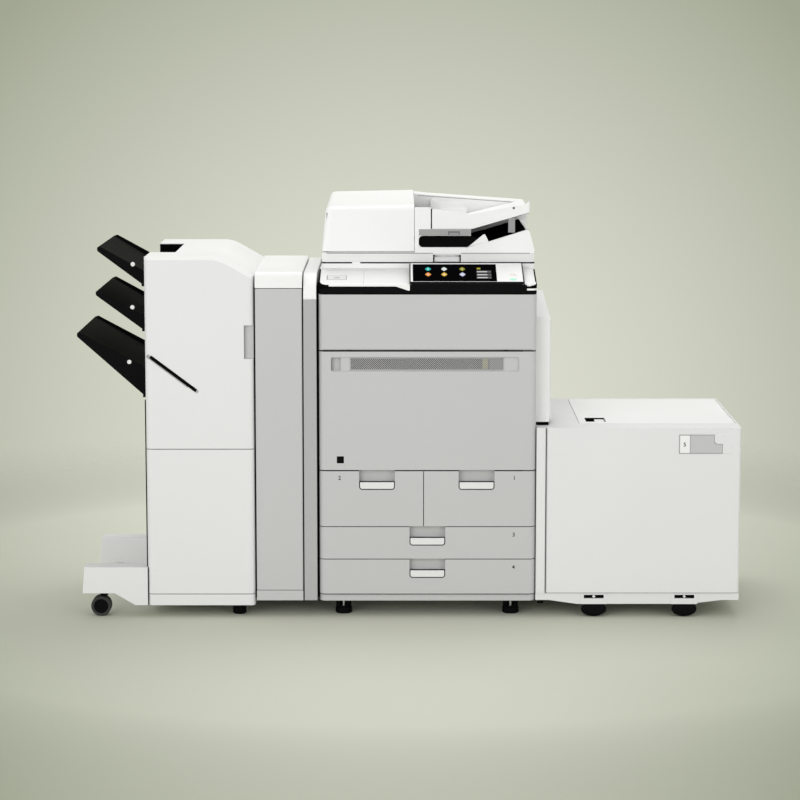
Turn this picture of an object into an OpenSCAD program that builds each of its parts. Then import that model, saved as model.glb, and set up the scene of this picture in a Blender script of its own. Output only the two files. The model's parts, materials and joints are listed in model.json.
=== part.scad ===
// Digital production printer: finisher, relay unit, print engine with scanner and feeder, paper deck.
// Millimetres, +Z up. The origin is on the floor under the middle of the whole line, +Y runs to the back.

/* [Line] */
// Reach of the lowest output tray past the finisher
tray_reach = 206; // [190:1:230]
// Width of the finisher
finisher_w = 320; // [300:1:350]
// Width of the relay unit
relay_w = 138; // [125:1:160]
// Width of the adapter strip
adapter_w = 38; // [32:1:45]
// Width of the print engine
engine_w = 641; // [610:1:680]
// Width of the paper deck
deck_w = 606; // [580:1:640]
// Gap between finisher and relay unit
relay_gap = 5; // [3:0.5:8]
// Gap between relay unit and adapter
adapter_gap = 4; // [2:0.5:7]
// Gap between adapter and engine
engine_gap = 7; // [4:0.5:10]
// Gap between engine and deck
deck_gap = 2; // [2:0.5:6]
// Depth of the print engine
engine_d = 900; // [870:1:960]
// Depth of the finisher
finisher_d = 690; // [640:1:720]
// Depth of the relay unit and adapter
relay_d = 600; // [560:1:640]
// Depth of the paper deck
deck_d = 640; // [610:1:670]

/* [Engine front] */
// Height of the skirt above the floor
skirt_z = 48; // [40:1:56]
// Height of the skirt
skirt_h = 21; // [16:1:28]
// Height of the lowest drawer front
drawer_4_h = 104; // [96:1:120]
// Height of the third drawer front
drawer_3_h = 96; // [90:1:120]
// Height of the two side by side drawer fronts
drawer_12_h = 166; // [150:1:185]
// Width of the left of the two drawers
drawer_2_w = 308; // [290:1:325]
// Height of the front door
door_h = 353; // [340:1:370]
// Height of the toner cover
upper_cover_h = 165; // [155:1:180]
// Height of the black band
band_h = 22; // [18:1:28]
// Thickness of the front covers
cover_t = 26; // [26:0.5:29]
// Plan radius of the front covers' outer corners
cover_r = 18; // [16:0.5:20]
// Seam between fixed covers and drawers
seam = 2; // [1.5:0.1:3]
// Seam above and below the front door, which holds the hinge leaves
door_seam = 3.5; // [3.2:0.1:5]
// Thickness of the side covers
side_t = 16; // [12:1:20]
// Thickness of the rear cover
rear_t = 10; // [8:1:16]
// Depth of the paper drawers behind their fronts
drawer_d = 560; // [520:1:600]
// Width of a drawer handle
handle_w = 106; // [95:1:120]
// Height of a drawer handle
handle_h = 56; // [50:1:64]
// Height of the lip at the bottom of a handle
handle_lip_h = 23; // [18:1:28]
// Width of the perforated grille
grille_w = 455; // [420:1:480]
// Height of the perforated grille
grille_h = 43; // [38:1:50]
// Pitch of the grille's slots
grille_pitch = 13; // [11:0.5:18]

/* [Console and scanner] */
// Height of the console above the band
console_h = 39; // [34:1:46]
// Set-back of the scanner behind the front
reader_setback = 165; // [155:1:180]
// Width of the scanner and feeder
reader_w = 635; // [600:1:635]
// Depth of the scanner and feeder
reader_d = 600; // [570:1:630]
// Height of the scanner above the console
reader_h = 18; // [16:1:24]
// Height of the lid plate under the feeder
lid_h = 29; // [25:1:34]
// Width of the control panel
panel_w = 337; // [320:1:350]
// Depth of the control panel
panel_d = 156; // [150:1:158]
// Width of the touch screen
screen_w = 247; // [230:1:255]

/* [Document feeder] */
// Width of the feeder cover
feeder_w = 277; // [260:1:290]
// Height of the feeder cover at its front
feeder_h = 133; // [125:1:141]
// Depth of the fence behind the document tray
fence_d = 125; // [110:1:140]
// Height of the document tray's pivot above the lid plate
tray_pivot_h = 124; // [118:1:130]

/* [Relay and adapter] */
// Height of the top of the relay unit
relay_z = 1031; // [1000:1:1060]
// Height of the relay unit's top cover
relay_top_h = 46; // [40:1:56]
// Height of the underside of relay unit and adapter
relay_z0 = 51; // [44:1:60]
// Height of the relay unit's base
relay_base_h = 30; // [24:1:38]
// Height of the top of the adapter
adapter_z = 1025; // [990:1:1050]
// Radius of the adapter's front top edge
adapter_r = 72; // [60:1:85]

/* [Finisher] */
// Height of the finisher's top
finisher_z = 1076; // [1050:1:1100]
// Height of the finisher's underside
finisher_z0 = 36; // [32:1:42]
// Height of the base line under the lower cover
finisher_base_h = 33; // [28:1:40]
// Height of the split between door and lower cover
split_z = 507; // [480:1:530]
// Width of the flat part of the top
top_flat_w = 220; // [200:1:240]
// Fall of the sloped part of the top
top_fall = 58; // [50:1:66]
// Width of the two upper trays past the finisher
tray_1_reach = 142; // [130:1:160]
// Slope of the output trays
tray_slope = 27; // [25:0.5:29]
// Depth of the output trays, front to back
tray_d = 480; // [440:1:510]
// Height of the top tray's rim at the finisher
tray_1_z = 1029; // [1020:1:1034]
// Height of the second tray's rim at the finisher
tray_2_z = 895; // [888:1:905]
// Height of the third tray's rim at the finisher
tray_3_z = 742; // [730:1:750]
// Height of the outrigger legs' top
leg_z = 151; // [140:1:165]
// Depth of an outrigger leg
leg_d = 68; // [60:1:78]
// Reach of the outrigger legs
leg_reach = 195; // [188:1:200]
// Radius of the outrigger casters
caster_r = 30; // [28:0.5:31]

/* [Paper deck] */
// Height of the deck's top
deck_z = 570; // [550:1:590]
// Height of the deck's front cover above the floor
deck_front_z = 72; // [68:1:80]
// Height of the deck's skirt above the floor
deck_skirt_z = 51; // [46:1:56]
// Width of the docking strip at the deck's left
strip_w = 28; // [24:1:34]
// Radius of the deck's wheels
deck_wheel_r = 38; // [35:0.5:40]
// Distance of the lid's left edge from the deck's left side
lid_inset = 133; // [120:1:145]
// Height of the folded bypass tray
bypass_h = 300; // [270:1:310]

/* [Hidden] */

$fn = 48;
// One overrun for every cut that passes through a face
over = 1;
// Running gap of a shaft in its bore, and the gap between a moving piece and its seat
run = 0.05;
seat = 0.3;
// How far a rib or post reaches into the moulding it stands on, within one solid
root = 2;

// Colours
white = [0.93, 0.93, 0.92];
light_grey = [0.86, 0.86, 0.86];
cover_grey = [0.74, 0.74, 0.74];
black = [0.08, 0.08, 0.09];
steel = [0.6, 0.62, 0.64];

// Places along the line, left to right
line_w = tray_reach + finisher_w + relay_gap + relay_w + adapter_gap + adapter_w + engine_gap
    + engine_w + deck_gap + deck_w;
fin_x = -line_w / 2 + tray_reach;
fin_x1 = fin_x + finisher_w;
rel_x = fin_x1 + relay_gap;
rel_x1 = rel_x + relay_w;
ada_x = rel_x1 + adapter_gap;
ada_x1 = ada_x + adapter_w;
ex0 = ada_x1 + engine_gap;
ex1 = ex0 + engine_w;
deck_x = ex1 + deck_gap;
deck_x1 = deck_x + deck_w;
front_y = -engine_d / 2;
back_y = engine_d / 2;
// The hinge axis of a door, and the gap that its rear corner needs when it turns
door_axis = 8;
swing_gap = 3;
frame_y = front_y + cover_t + swing_gap;

// Heights of the engine's tiers
z_d4 = skirt_z + skirt_h + seam;
z_d3 = z_d4 + drawer_4_h + seam;
z_d12 = z_d3 + drawer_3_h + seam;
z_door = z_d12 + drawer_12_h + door_seam;
z_upper = z_door + door_h + door_seam;
z_band = z_upper + upper_cover_h + seam;
z_console = z_band + band_h;
z_top = z_console + console_h;

// Engine frame
frame_x = ex0 + side_t;
frame_x1 = ex1 - side_t;
frame_y1 = back_y - rear_t;
frame_wall = 8;
shelf_t = 14;
rail_w = 8;
rail_h = 6;
rail_gap = 2;
bay_clear = 20;
bay_d = drawer_d + bay_clear;
split_x = ex0 + drawer_2_w + seam / 2;
hinge_bar_h = 24;
catch_w = 30;
catch_h = 12;

// Hinges
leaf_t = 2;
leaf_r = 6;
leaf_reach = 30;
pin_r = 3;
door_pin_l = 8;
lug_r = 4.5;
lug_w = 16;
lug_pin_r = 2.5;
cover_axis = 7;
lug_inset = 90;

// Skirt, feet
skirt_inset = 6;
skirt_wall = 30;
foot_inset = 70;
foot_r = 25;
foot_h = 20;
stud_r = 6;

// Handles, grille, drawers
handle_depth = 20;
handle_r = 9;
lip_t = 7;
lip_gap = 2.5;
lip_bevel = 5;
grille_t = 3;
grille_set = 5;
grille_ledge = 3;
grille_drop = 16;
grille_inset = 91;
grip_w = 26;
band_recess_r = 6;
slot_w = 5;
slot_lean_share = 0.3;
slot_gap = 4;
slot_rows = 3;
door_pocket = 8;
door_rim = 20;
tray_wall = 3;
tray_gap = 4;
lift_plate_t = 3;
fence_t = 4;
fence_w = 40;

// Inside of the engine
inner_set = 60;
inner_t = 6;
bottle_r = 46;
bottle_l = 400;
bottle_cap = 12;
drum_r = 30;
drum_l = 380;
drum_h = 92;
drum_w = 108;
drum_z_share = 0.72;
belt_h = 54;
belt_t = 2;
belt_l = 360;
fixer_w = 190;
fixer_h = 96;
fixer_l = 380;
roller_r = 20;
roller_gap = 1;
nip = 1.5;
stations = 4;

// Console, panel, scanner
lip_front = 4;
lip_step = 12;
lip_step_x = 227;
lip_step_w = 36;
console_wall = 10;
card_w = 58;
card_d = 24;
card_x = 22;
card_y = 36;
card_deep = 1;
slope_a = atan((console_h - lip_front) / reader_setback);
panel_t = 9;
panel_r = 8;
panel_y = 1;
panel_wedge = 4;
panel_skin = 1;
panel_x1 = 37;
end_block_w = 26;
end_block_t = 3;
screen_d = 140;
screen_t = 2;
screen_x = 10;
screen_y = 6;
key_r = 9;
key_h = 7;
key_rise = 1;
key_travel = 2.5;
key_x = 32;
key_start_y = 22;
key_stop_y = 58;
reader_x1 = ex1;
reader_x = reader_x1 - reader_w;
reader_y = front_y + reader_setback;
reader_y1 = reader_y + reader_d;
reader_wall = 12;
reader_corner = 12;
glass_t = 3;
glass_margin = 60;
lid_gap = 0.5;
carriage_w = 60;
carriage_h = 22;
carriage_rail = 8;
carriage_rail_h = 10;
z_glass = z_top + reader_h;
reader_z0 = z_console + shelf_t / 2;
z_lid = z_glass + lid_gap;
z_adf = z_lid + lid_h;
// Top of the scan carriage's rails
z_rail = reader_z0 + glass_t + carriage_rail_h;

// Document feeder
adf_x = reader_x + feeder_w;
base_h = 15;
base_in = 20;
feeder_wall = 4;
feeder_taper = 10;
feeder_round = 18;
feeder_rise = 5;
feeder_crown = 12;
feeder_foot_r = 12;
feeder_pivot = 6;
feeder_seam = 3;
grip_x = 332;
grip_len = 83;
grip_drop = 22;
grip_depth = 16;
ramp_flat = 153;
ramp_mid = 221;
ramp_mid_h = 32;
ramp_end = 15;
ramp_h = 67;
ramp_edge = 10;
beam_h = 20;
beam_z = 50;
beam_d = 14;
beam_w = 168;
cheek_w = 48;
cheek_in = 12;
cheek_h = 134;
fence_h = 148;
fence_end_h = 122;
fence_in = 38;
tray_side = 12;
tray_pin_l = 10;
tray_x = 52;
tray_x1 = 16;
tray_low_x = 107;
tray_bottom_end = 119;
tray_flat_x = 121;
side_low_h = 113;
side_end_h = 154;
floor_h = 84;
floor_end_h = 128;
tray_bottom_h = beam_z + beam_h + 2 * seat;
guide_l = 74;
guide_h = 42;
guide_t = 3;
guide_base = 26;
guide_in = 70;
guide_x = 60;
shaft_r = 4;
feed_r = 14;
feed_w = 30;
feed_x = 70;
feed_h = 45;
bearing_t = 8;
bearing_r = 12;
bearing_in = 60;

// Relay, adapter, finisher
door_t = 22;
dock_d = 60;
dock_h = 80;
dock_y_share = 0.6;
relay_wall = 10;
relay_round = 15;
guide_plates = 3;
plate_t = 3;
adapter_lip = 10;
passage_share = 0.15;
fin_wall = 10;
fin_r = 14;
fin_grip_w = 28;
fin_grip_h = 99;
fin_grip_z = 776;
fin_grip_deep = 14;
stripe_x = 12;
stripe_z = 791;
stripe_l = 176;
stripe_w = 9;
stripe_a = 37;
stripe_t = 3;
notch_w = 77;
notch_y = 180;
notch_d = 350;
notch_h = 40;
top_t = 48;
rail_out = 8;
rail_bar_w = 12;
rail_z0 = 170;
rail_in = 70;
tray_plate = 6;
tray_rim = 16;
tray_tip = 8;
tray_1_drop = 44;
tray_3_drop = 88;
leg_end_z = 72;
leg_lean = 6;
leg_heel = 96;
leg_toe = 38;
leg_rear_y = 459;
fin_foot_r = 20;
fin_foot_tip = 16;
fin_foot_in = 50;
caster_in = 61;
caster_trail = -8;
caster_plate = 12;
caster_tread = 15;
caster_web = 8;
caster_gap = 0.5;
stem_r = 6;
stem_h = 24;
axle_r = 4;

// Deck, bypass
deck_r = 10;
deck_cover_t = 16;
lid_in_y = 100;
lid_rim = 7;
lid_t = 12;
lid_back = 22;
lid_seam = 1.5;
lid_ledge = 10;
latch_w = 60;
latch_d = 84;
latch_x = 22;
latch_y = 30;
latch_deep = 9;
latch_t = 4;
latch_gap = 1;
latch_pin_r = 1;
latch_pin_l = 4;
lifter_t = 6;
lifter_gap = 0.5;
lifter_z = 108;
deck_floor = 12;
wheel_w = 26;
wheel_x = 174;
wheel_x1 = 162;
wheel_y = 16;
bracket_w = 78;
bracket_rise = 2;
window_share = 0.78;
wheel_back = 60;
arch_gap = 6;
skirt_drop = 12;
skirt_drop_x = 150;
skirt_drop_x1 = 38;
skirt_slant = 12;
plate_x1 = 28;
plate_w = 128;
plate_h = 56;
plate_drop = 20;
plate_rise = 1;
plate_notch = 24;
bypass_y = 60;
bypass_l = 420;
bypass_z = 580;
bypass_z1 = 894;
bypass_rise = 40;
bypass_w = 42;
bypass_t = 6;
bypass_in = 34;
bypass_sheet = 330;
bypass_pivot = 9;
bypass_knuckle = 5;

// Rounded rectangle with one corner at the origin
module rounded(w, d, r) {
    union() {
        translate([r, 0]) square([w - 2 * r, d]);
        translate([0, r]) square([w, d - 2 * r]);
        for (x = [r, w - r], y = [r, d - r]) translate([x, y]) circle(r);
    }
}

// Plan of a front cover, rounded at its two front corners
module cover_plan(w, t, r) {
    intersection() {
        union() {
            translate([r, 0]) square([w - 2 * r, t]);
            translate([0, r]) square([w, t - r]);
            for (x = [r, w - r]) translate([x, r]) circle(r);
        }
        square([w, t]);
    }
}

// Box between two corners
module block(a, b) {
    translate(a) cube(b - a);
}

// Profile drawn in X and Z, carried from y0 to y1
module along_y(y0, y1) {
    translate([0, y1, 0]) rotate([90, 0, 0]) linear_extrude(y1 - y0) children();
}

// Profile drawn in Y and Z, carried from x0 to x1
module along_x(x0, x1) {
    translate([x0, 0, 0]) rotate([90, 0, 90]) linear_extrude(x1 - x0) children();
}

// Round bars along each axis
module rod_x(x0, x1, y, z, r) {
    translate([x0, y, z]) rotate([0, 90, 0]) cylinder(h = x1 - x0, r = r);
}

module rod_y(y0, y1, x, z, r) {
    translate([x, y0, z]) rotate([-90, 0, 0]) cylinder(h = y1 - y0, r = r);
}

module rod_z(z0, z1, x, y, r) {
    translate([x, y, z0]) cylinder(h = z1 - z0, r = r);
}

// Front panel over the engine's full width
module cover(z0, z1) {
    translate([ex0, front_y, z0]) linear_extrude(z1 - z0) cover_plan(engine_w, cover_t, cover_r);
}

// Hinge leaf with its bore on the front door's axis, reaching back to the frame
module leaf(z) {
    x = ex1 - door_axis;
    y = front_y + door_axis;
    difference() {
        union() {
            rod_z(z, z + leaf_t, x, y, leaf_r);
            block([x - leaf_reach, y, z], [x + leaf_r, frame_y, z + leaf_t]);
        }
        rod_z(z - over, z + leaf_t + over, x, y, pin_r + run);
    }
}

// Drawer bay: the opening for a tray between the two x values, and its rails
module bay(x0, x1, z0, z1) {
    block([x0, frame_y - over, z0], [x1, frame_y + bay_d, z1]);
}

module rails(x0, x1, z0) {
    for (x = [x0, x1 - rail_w])
        block([x, frame_y, z0], [x + rail_w, frame_y + bay_d, z0 + rail_h]);
}

// Insides of the four bays, as [left, right, bottom, top]
bay_in = frame_wall;
function bay_box(n) =
    n == 4 ? [frame_x + bay_in, frame_x1 - bay_in, z_d4 + shelf_t / 2, z_d3 - shelf_t / 2] :
    n == 3 ? [frame_x + bay_in, frame_x1 - bay_in, z_d3 + shelf_t / 2, z_d12 - shelf_t / 2] :
    n == 2 ? [frame_x + bay_in, split_x - shelf_t / 2, z_d12 + shelf_t / 2, z_door - shelf_t] :
             [split_x + shelf_t / 2, frame_x1 - bay_in, z_d12 + shelf_t / 2, z_door - shelf_t];

// The front faces of the four drawers, as [left, right, bottom, top]
function front_box(n) =
    n == 4 ? [ex0, ex1, z_d4, z_d4 + drawer_4_h] :
    n == 3 ? [ex0, ex1, z_d3, z_d3 + drawer_3_h] :
    n == 2 ? [ex0, ex0 + drawer_2_w, z_d12, z_d12 + drawer_12_h] :
             [ex0 + drawer_2_w + seam, ex1, z_d12, z_d12 + drawer_12_h];

// Floor and ceiling of the process bay behind the door and of the toner bay behind the upper cover
process_z = z_door + shelf_t / 2;
hinge_bar_z = z_upper - hinge_bar_h / 2;
process_z1 = hinge_bar_z;
toner_z = hinge_bar_z + hinge_bar_h;
toner_z1 = z_console - shelf_t;

module engine_frame() color(steel) {
    difference() {
        block([frame_x, frame_y, skirt_z + skirt_h], [frame_x1, frame_y1, z_console]);
        for (n = [1:4]) {
            b = bay_box(n);
            bay(b[0], b[1], b[2], b[3]);
        }
        for (z = [[process_z, process_z1], [toner_z, toner_z1]])
            block([frame_x + frame_wall, frame_y - over, z[0]],
                  [frame_x1 - frame_wall, frame_y + bay_d, z[1]]);
        block([frame_x + frame_wall, frame_y + bay_d + frame_wall, z_d4 + shelf_t],
              [frame_x1 - frame_wall, frame_y1 + over, z_console - shelf_t]);
    }
    for (n = [1:4]) {
        b = bay_box(n);
        rails(b[0], b[1], b[2]);
    }
    for (z = [z_door - (door_seam + leaf_t) / 2, z_upper - (door_seam + leaf_t) / 2])
        leaf(z);
    for (x = [ex0 + lug_inset, ex1 - lug_inset]) difference() {
        union() {
            rod_x(x - lug_w / 2, x + lug_w / 2, front_y + cover_axis, z_upper + cover_axis, lug_r);
            block([x - lug_w / 2, front_y + cover_axis, z_upper + cover_axis - lug_r],
                  [x + lug_w / 2, frame_y, z_upper + cover_axis + lug_r]);
        }
        rod_x(x - lug_w, x + lug_w, front_y + cover_axis, z_upper + cover_axis, lug_pin_r + run);
    }
    // Catches that the door and the upper cover close against
    for (z = [z_door + door_h - door_rim, z_upper + upper_cover_h - door_rim])
        block([frame_x + frame_wall, front_y + cover_t + seat, z],
              [frame_x + frame_wall + catch_w, frame_y + catch_h, z + catch_h]);
}

module base_skirt() color(cover_grey) translate([ex0, front_y, skirt_z])
    linear_extrude(skirt_h) difference() {
        translate([0, skirt_inset]) cover_plan(engine_w, engine_d - skirt_inset, cover_r);
        translate([skirt_wall, skirt_wall])
            square([engine_w - 2 * skirt_wall, engine_d - 2 * skirt_wall]);
    }

vent_l = 160;
vent_h = 6;
vent_pitch = 14;
vent_count = 9;
vent_z_share = 0.62;
vent_in = 70;

module side_covers() color(cover_grey) difference() {
    for (x = [ex0, ex1 - side_t])
        block([x, frame_y, z_d4], [x + side_t, frame_y1, z_console]);
    for (i = [0:vent_count - 1]) {
        z = z_console * vent_z_share + i * vent_pitch;
        for (x = [ex0 - over, ex1 - side_t - over])
            block([x, frame_y1 - vent_in - vent_l, z],
                  [x + side_t + 2 * over, frame_y1 - vent_in, z + vent_h]);
    }
}

module rear_cover() color(cover_grey) difference() {
    block([ex0, frame_y1, z_d4], [ex1, back_y, z_console]);
    for (i = [0:vent_count - 1], x = [ex0 + vent_in, ex1 - vent_in - vent_l]) {
        z = z_console * vent_z_share + i * vent_pitch;
        block([x, frame_y1 - over, z], [x + vent_l, back_y + over, z + vent_h]);
    }
    // Power inlet recess
    block([ex1 - vent_in - catch_w, frame_y1 + rear_t / 2, z_d4 + catch_w],
          [ex1 - vent_in, back_y + over, z_d4 + 2 * catch_w]);
}

// Outline of the lip that drops in front of the band, right of the step
module lip_outline() {
    polygon([[ex0 + lip_step_x, z_console], [ex0 + lip_step_x + lip_step_w, z_console - lip_step],
             [ex1, z_console - lip_step], [ex1, z_console]]);
}

// The console's sloped surface, with the local origin at its front edge
module on_slope(x) {
    translate([x, front_y, z_console + lip_front]) rotate([slope_a, 0, 0]) children();
}

module console_body() {
    intersection() {
        translate([ex0, front_y, z_console]) linear_extrude(console_h)
            cover_plan(engine_w, engine_d, cover_r);
        along_x(ex0, ex1) polygon([[front_y, z_console], [front_y, z_console + lip_front],
            [reader_y, z_top], [back_y, z_top], [back_y, z_console]]);
    }
    intersection() {
        cover(z_console - lip_step, z_console + lip_front);
        along_y(front_y, front_y + cover_t) lip_outline();
    }
}

module console() color(white) {
    difference() {
        console_body();
        block([reader_x + console_wall, reader_y + console_wall, z_console + shelf_t / 2],
              [reader_x1 - console_wall, reader_y1 - console_wall, z_top + over]);
        on_slope(ex0) block([card_x, card_y, -card_deep], [card_x + card_w, card_y + card_d, console_h]);
    }
    // Raised end piece right of the panel
    on_slope(ex1 - panel_x1 + seam) translate([0, panel_y, 0]) linear_extrude(end_block_t)
        rounded(end_block_w, panel_d, end_block_t);
}

module console_band() color(black) difference() {
    cover(z_band, z_console);
    along_y(front_y - over, front_y + cover_t + over) lip_outline();
}

module inner_cover() color(light_grey) {
    y = front_y + inner_set;
    x0 = frame_x + frame_wall;
    x1 = frame_x1 - frame_wall;
    // Toner bay panel, with a round opening for each bottle
    difference() {
        block([x0, y, toner_z], [x1, y + inner_t, toner_z1]);
        for (i = [0:last]) rod_y(y - over, y + inner_t + over, unit_x(i), bottle_z, bottle_r + seat);
    }
    // Process bay panel, with the drum units' openings and the fixing unit's
    difference() {
        block([x0, y, process_z], [x1, y + inner_t, process_z1]);
        for (i = [0:last]) block([unit_x(i) - drum_w / 2 - seat, y - over, drum_z],
                              [unit_x(i) + drum_w / 2 + seat, y + inner_t + over, drum_z + drum_h]);
        block([fixer_x, y - over, process_z], [fixer_x + fixer_w, y + inner_t + over, process_z + fixer_h]);
    }
}

// The four colour stations, their heights and the fixing unit's place
function unit_x(i) = ex0 + engine_w * (i + 1) / (stations + 1);
last = stations - 1;
bottle_z = (toner_z + toner_z1) / 2;
drum_z = process_z + (process_z1 - process_z) * drum_z_share - drum_h / 2;
belt_z = drum_z - seat - belt_h;
fixer_x = frame_x + frame_wall + pin_r;

module toner_bottles() color([0.85, 0.85, 0.86]) for (i = [0:last]) {
    y = front_y + inner_set;
    rod_y(y, y + bottle_l, unit_x(i), bottle_z, bottle_r);
    rod_y(y - bottle_cap, y, unit_x(i), bottle_z, bottle_r - bottle_cap);
    // Grip bar across the cap
    block([unit_x(i) - bottle_cap / 2, y - 2 * bottle_cap, bottle_z - bottle_r / 2],
          [unit_x(i) + bottle_cap / 2, y - bottle_cap, bottle_z + bottle_r / 2]);
}

module drum_units() color(black) for (i = [0:last]) {
    y = front_y + inner_set;
    difference() {
        block([unit_x(i) - drum_w / 2, y - bottle_cap, drum_z + drum_r],
              [unit_x(i) + drum_w / 2, y + drum_l, drum_z + drum_h]);
        rod_y(y, y + drum_l + over, unit_x(i), drum_z + drum_r, drum_r + roller_gap);
    }
    // Photoconductor drum on its shaft, which the end walls carry
    rod_y(y, y + drum_l, unit_x(i), drum_z + drum_r, drum_r);
    block([unit_x(i) - drum_r / 2, y - 2 * bottle_cap, drum_z + drum_h - drum_r],
          [unit_x(i) + drum_r / 2, y - bottle_cap, drum_z + drum_h - bottle_cap]);
}

module belt_outline(grow) {
    r = belt_h / 2 + grow;
    for (x = [unit_x(0), unit_x(last)]) translate([x, belt_z + belt_h / 2]) circle(r);
    translate([unit_x(0), belt_z - grow]) square([unit_x(last) - unit_x(0), 2 * r]);
}

module transfer_belt() color([0.2, 0.17, 0.15]) {
    y = front_y + inner_set + 2 * inner_t;
    along_y(y, y + belt_l) difference() {
        belt_outline(0);
        belt_outline(-belt_t);
    }
    for (x = [unit_x(0), unit_x(last)])
        rod_y(y - inner_t, y + belt_l + inner_t, x, belt_z + belt_h / 2, (belt_h - belt_t) / 2);
    // Side plates that carry the rollers across the bay
    for (b = [y - inner_t, y + belt_l])
        block([frame_x + frame_wall, b, belt_z + belt_h / 4],
              [frame_x1 - frame_wall, b + inner_t, belt_z + belt_h * 3 / 4]);
}

// The two fixing rollers, which press into each other by the nip
fixer_mid = process_z + fixer_h / 2;
module fixing_rollers(r) for (z = [nip - roller_r, roller_r - nip])
    rod_y(front_y + inner_set + inner_t, front_y + inner_set + fixer_l - inner_t, fixer_x + fixer_w / 2,
          fixer_mid + z, r);

module fixing_unit() color(steel) {
    y = front_y + inner_set;
    difference() {
        block([fixer_x + seat, y - bottle_cap, process_z],
              [fixer_x + fixer_w - seat, y + fixer_l, process_z + fixer_h - seat]);
        block([fixer_x + seat - over, y + inner_t, fixer_mid - roller_r / 2],
              [fixer_x + fixer_w + over, y + fixer_l - inner_t, fixer_mid + roller_r / 2]);
        fixing_rollers(roller_r + roller_gap);
    }
    fixing_rollers(roller_r);
}

module engine_feet() color(black)
    for (x = [ex0 + foot_inset, ex1 - foot_inset], y = [front_y + foot_inset, back_y - foot_inset]) {
        rod_z(0, foot_h, x, y, foot_r);
        rod_z(foot_h, skirt_z, x, y, stud_r);
        // Nut plate that the stud screws into, across the skirt's corner
        rod_z(skirt_z - foot_h / 2, skirt_z, x, y, foot_r);
        block([x - foot_r, y - foot_r, skirt_z], [x + foot_r, y + foot_r, skirt_z + skirt_h]);
    }

module reader_body() color(white) {
    difference() {
        union() {
            translate([reader_x, reader_y, z_top]) linear_extrude(reader_h)
                rounded(reader_w, reader_d, reader_corner);
            block([reader_x + console_wall + seat, reader_y + console_wall + seat, reader_z0],
                  [reader_x1 - console_wall - seat, reader_y1 - console_wall - seat, z_top]);
        }
        block([reader_x + 2 * reader_wall, reader_y + 2 * reader_wall, reader_z0 + glass_t],
              [reader_x1 - 2 * reader_wall, reader_y1 - 2 * reader_wall, z_glass - glass_t - over]);
        block([reader_x + 2 * reader_wall + glass_margin, reader_y + 2 * reader_wall + over,
               z_glass - glass_t - 2 * over],
              [reader_x1 - 2 * reader_wall - over, reader_y1 - glass_margin, z_glass + over]);
    }
    for (y = [reader_y + 2 * reader_wall, reader_y1 - 2 * reader_wall - carriage_rail])
        block([reader_x + 2 * reader_wall, y, reader_z0 + glass_t],
              [reader_x1 - 2 * reader_wall, y + carriage_rail, z_rail]);
}

module platen_glass() color([0.55, 0.65, 0.68, 0.6])
    block([reader_x + 2 * reader_wall + glass_margin, reader_y + 2 * reader_wall + over,
           z_glass - glass_t - over],
          [reader_x1 - 2 * reader_wall - over, reader_y1 - glass_margin, z_glass - over]);

module scan_carriage() color(black) {
    x = reader_x + 2 * reader_wall + glass_margin / 2;
    difference() {
        block([x, reader_y + 2 * reader_wall + seat, z_rail + seat],
              [x + carriage_w, reader_y1 - 2 * reader_wall - seat, z_rail + seat + carriage_h]);
        block([x + carriage_w / 3, reader_y + glass_margin, z_rail + seat + carriage_h / 2],
              [x + carriage_w * 2 / 3, reader_y1 - glass_margin, z_rail + carriage_h + over]);
    }
}

// Cover over the toner bottles, which turns down about its bottom edge
module upper_front_cover() color(cover_grey) {
    difference() {
        cover(z_upper, z_upper + upper_cover_h);
        // Rounded bottom edge about the hinge axis
        along_x(ex0 - over, ex1 + over) difference() {
            translate([front_y - over, z_upper - over]) square(cover_axis + over);
            translate([front_y + cover_axis, z_upper + cover_axis]) circle(cover_axis);
        }
        for (x = [ex0 + lug_inset, ex1 - lug_inset])
            block([x - lug_w / 2 - seat, front_y + cover_axis - lug_r - seat, z_upper - over],
                  [x + lug_w / 2 + seat, front_y + cover_t + over, z_upper + cover_axis + lug_r + seat]);
        block([ex0 + door_rim, front_y + cover_t - door_pocket, z_upper + door_rim],
              [ex1 - door_rim, front_y + cover_t + over, z_upper + upper_cover_h - door_rim]);
    }
    for (x = [ex0 + lug_inset, ex1 - lug_inset])
        rod_x(x - lug_w / 2 - seat, x + lug_w / 2 + seat, front_y + cover_axis, z_upper + cover_axis,
              lug_pin_r);
}

// Grille band on the front door
grille_z1 = z_door + door_h - grille_drop;
grille_z = grille_z1 - grille_h;
grille_x = ex0 + grille_inset;

module front_door() color(cover_grey) {
    difference() {
        cover(z_door, z_door + door_h);
        // Long rounded recess that holds the grip on the left and the grille
        along_y(front_y - over, front_y + grille_set)
            translate([grille_x - grille_inset + 2 * cover_r, grille_z]) rounded(
                grille_w + grille_inset + grip_w - cover_r, grille_h, band_recess_r);
        block([grille_x, front_y, grille_z + grille_ledge - seat],
              [grille_x + grille_w, front_y + grille_set + grille_t, grille_z1 - grille_ledge + seat]);
        block([grille_x + grille_ledge, front_y, grille_z + 2 * grille_ledge],
              [grille_x + grille_w - grille_ledge, front_y + grille_set + grille_t + door_pocket / 2,
               grille_z1 - 2 * grille_ledge]);
        block([grille_x - grille_inset + 2 * cover_r, front_y, grille_z + grille_ledge],
              [grille_x - grip_w, front_y + cover_t - 2 * door_pocket + grille_set,
               grille_z1 - grille_ledge]);
        // Inner pocket
        block([ex0 + door_rim, front_y + cover_t - door_pocket, z_door + door_rim],
              [ex1 - door_rim - leaf_reach, front_y + cover_t + over, grille_z - door_rim]);
    }
    for (z = [z_door - door_seam + seat, z_door + door_h])
        rod_z(z, z + door_seam - seat, ex1 - door_axis, front_y + door_axis, pin_r);
}

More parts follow.
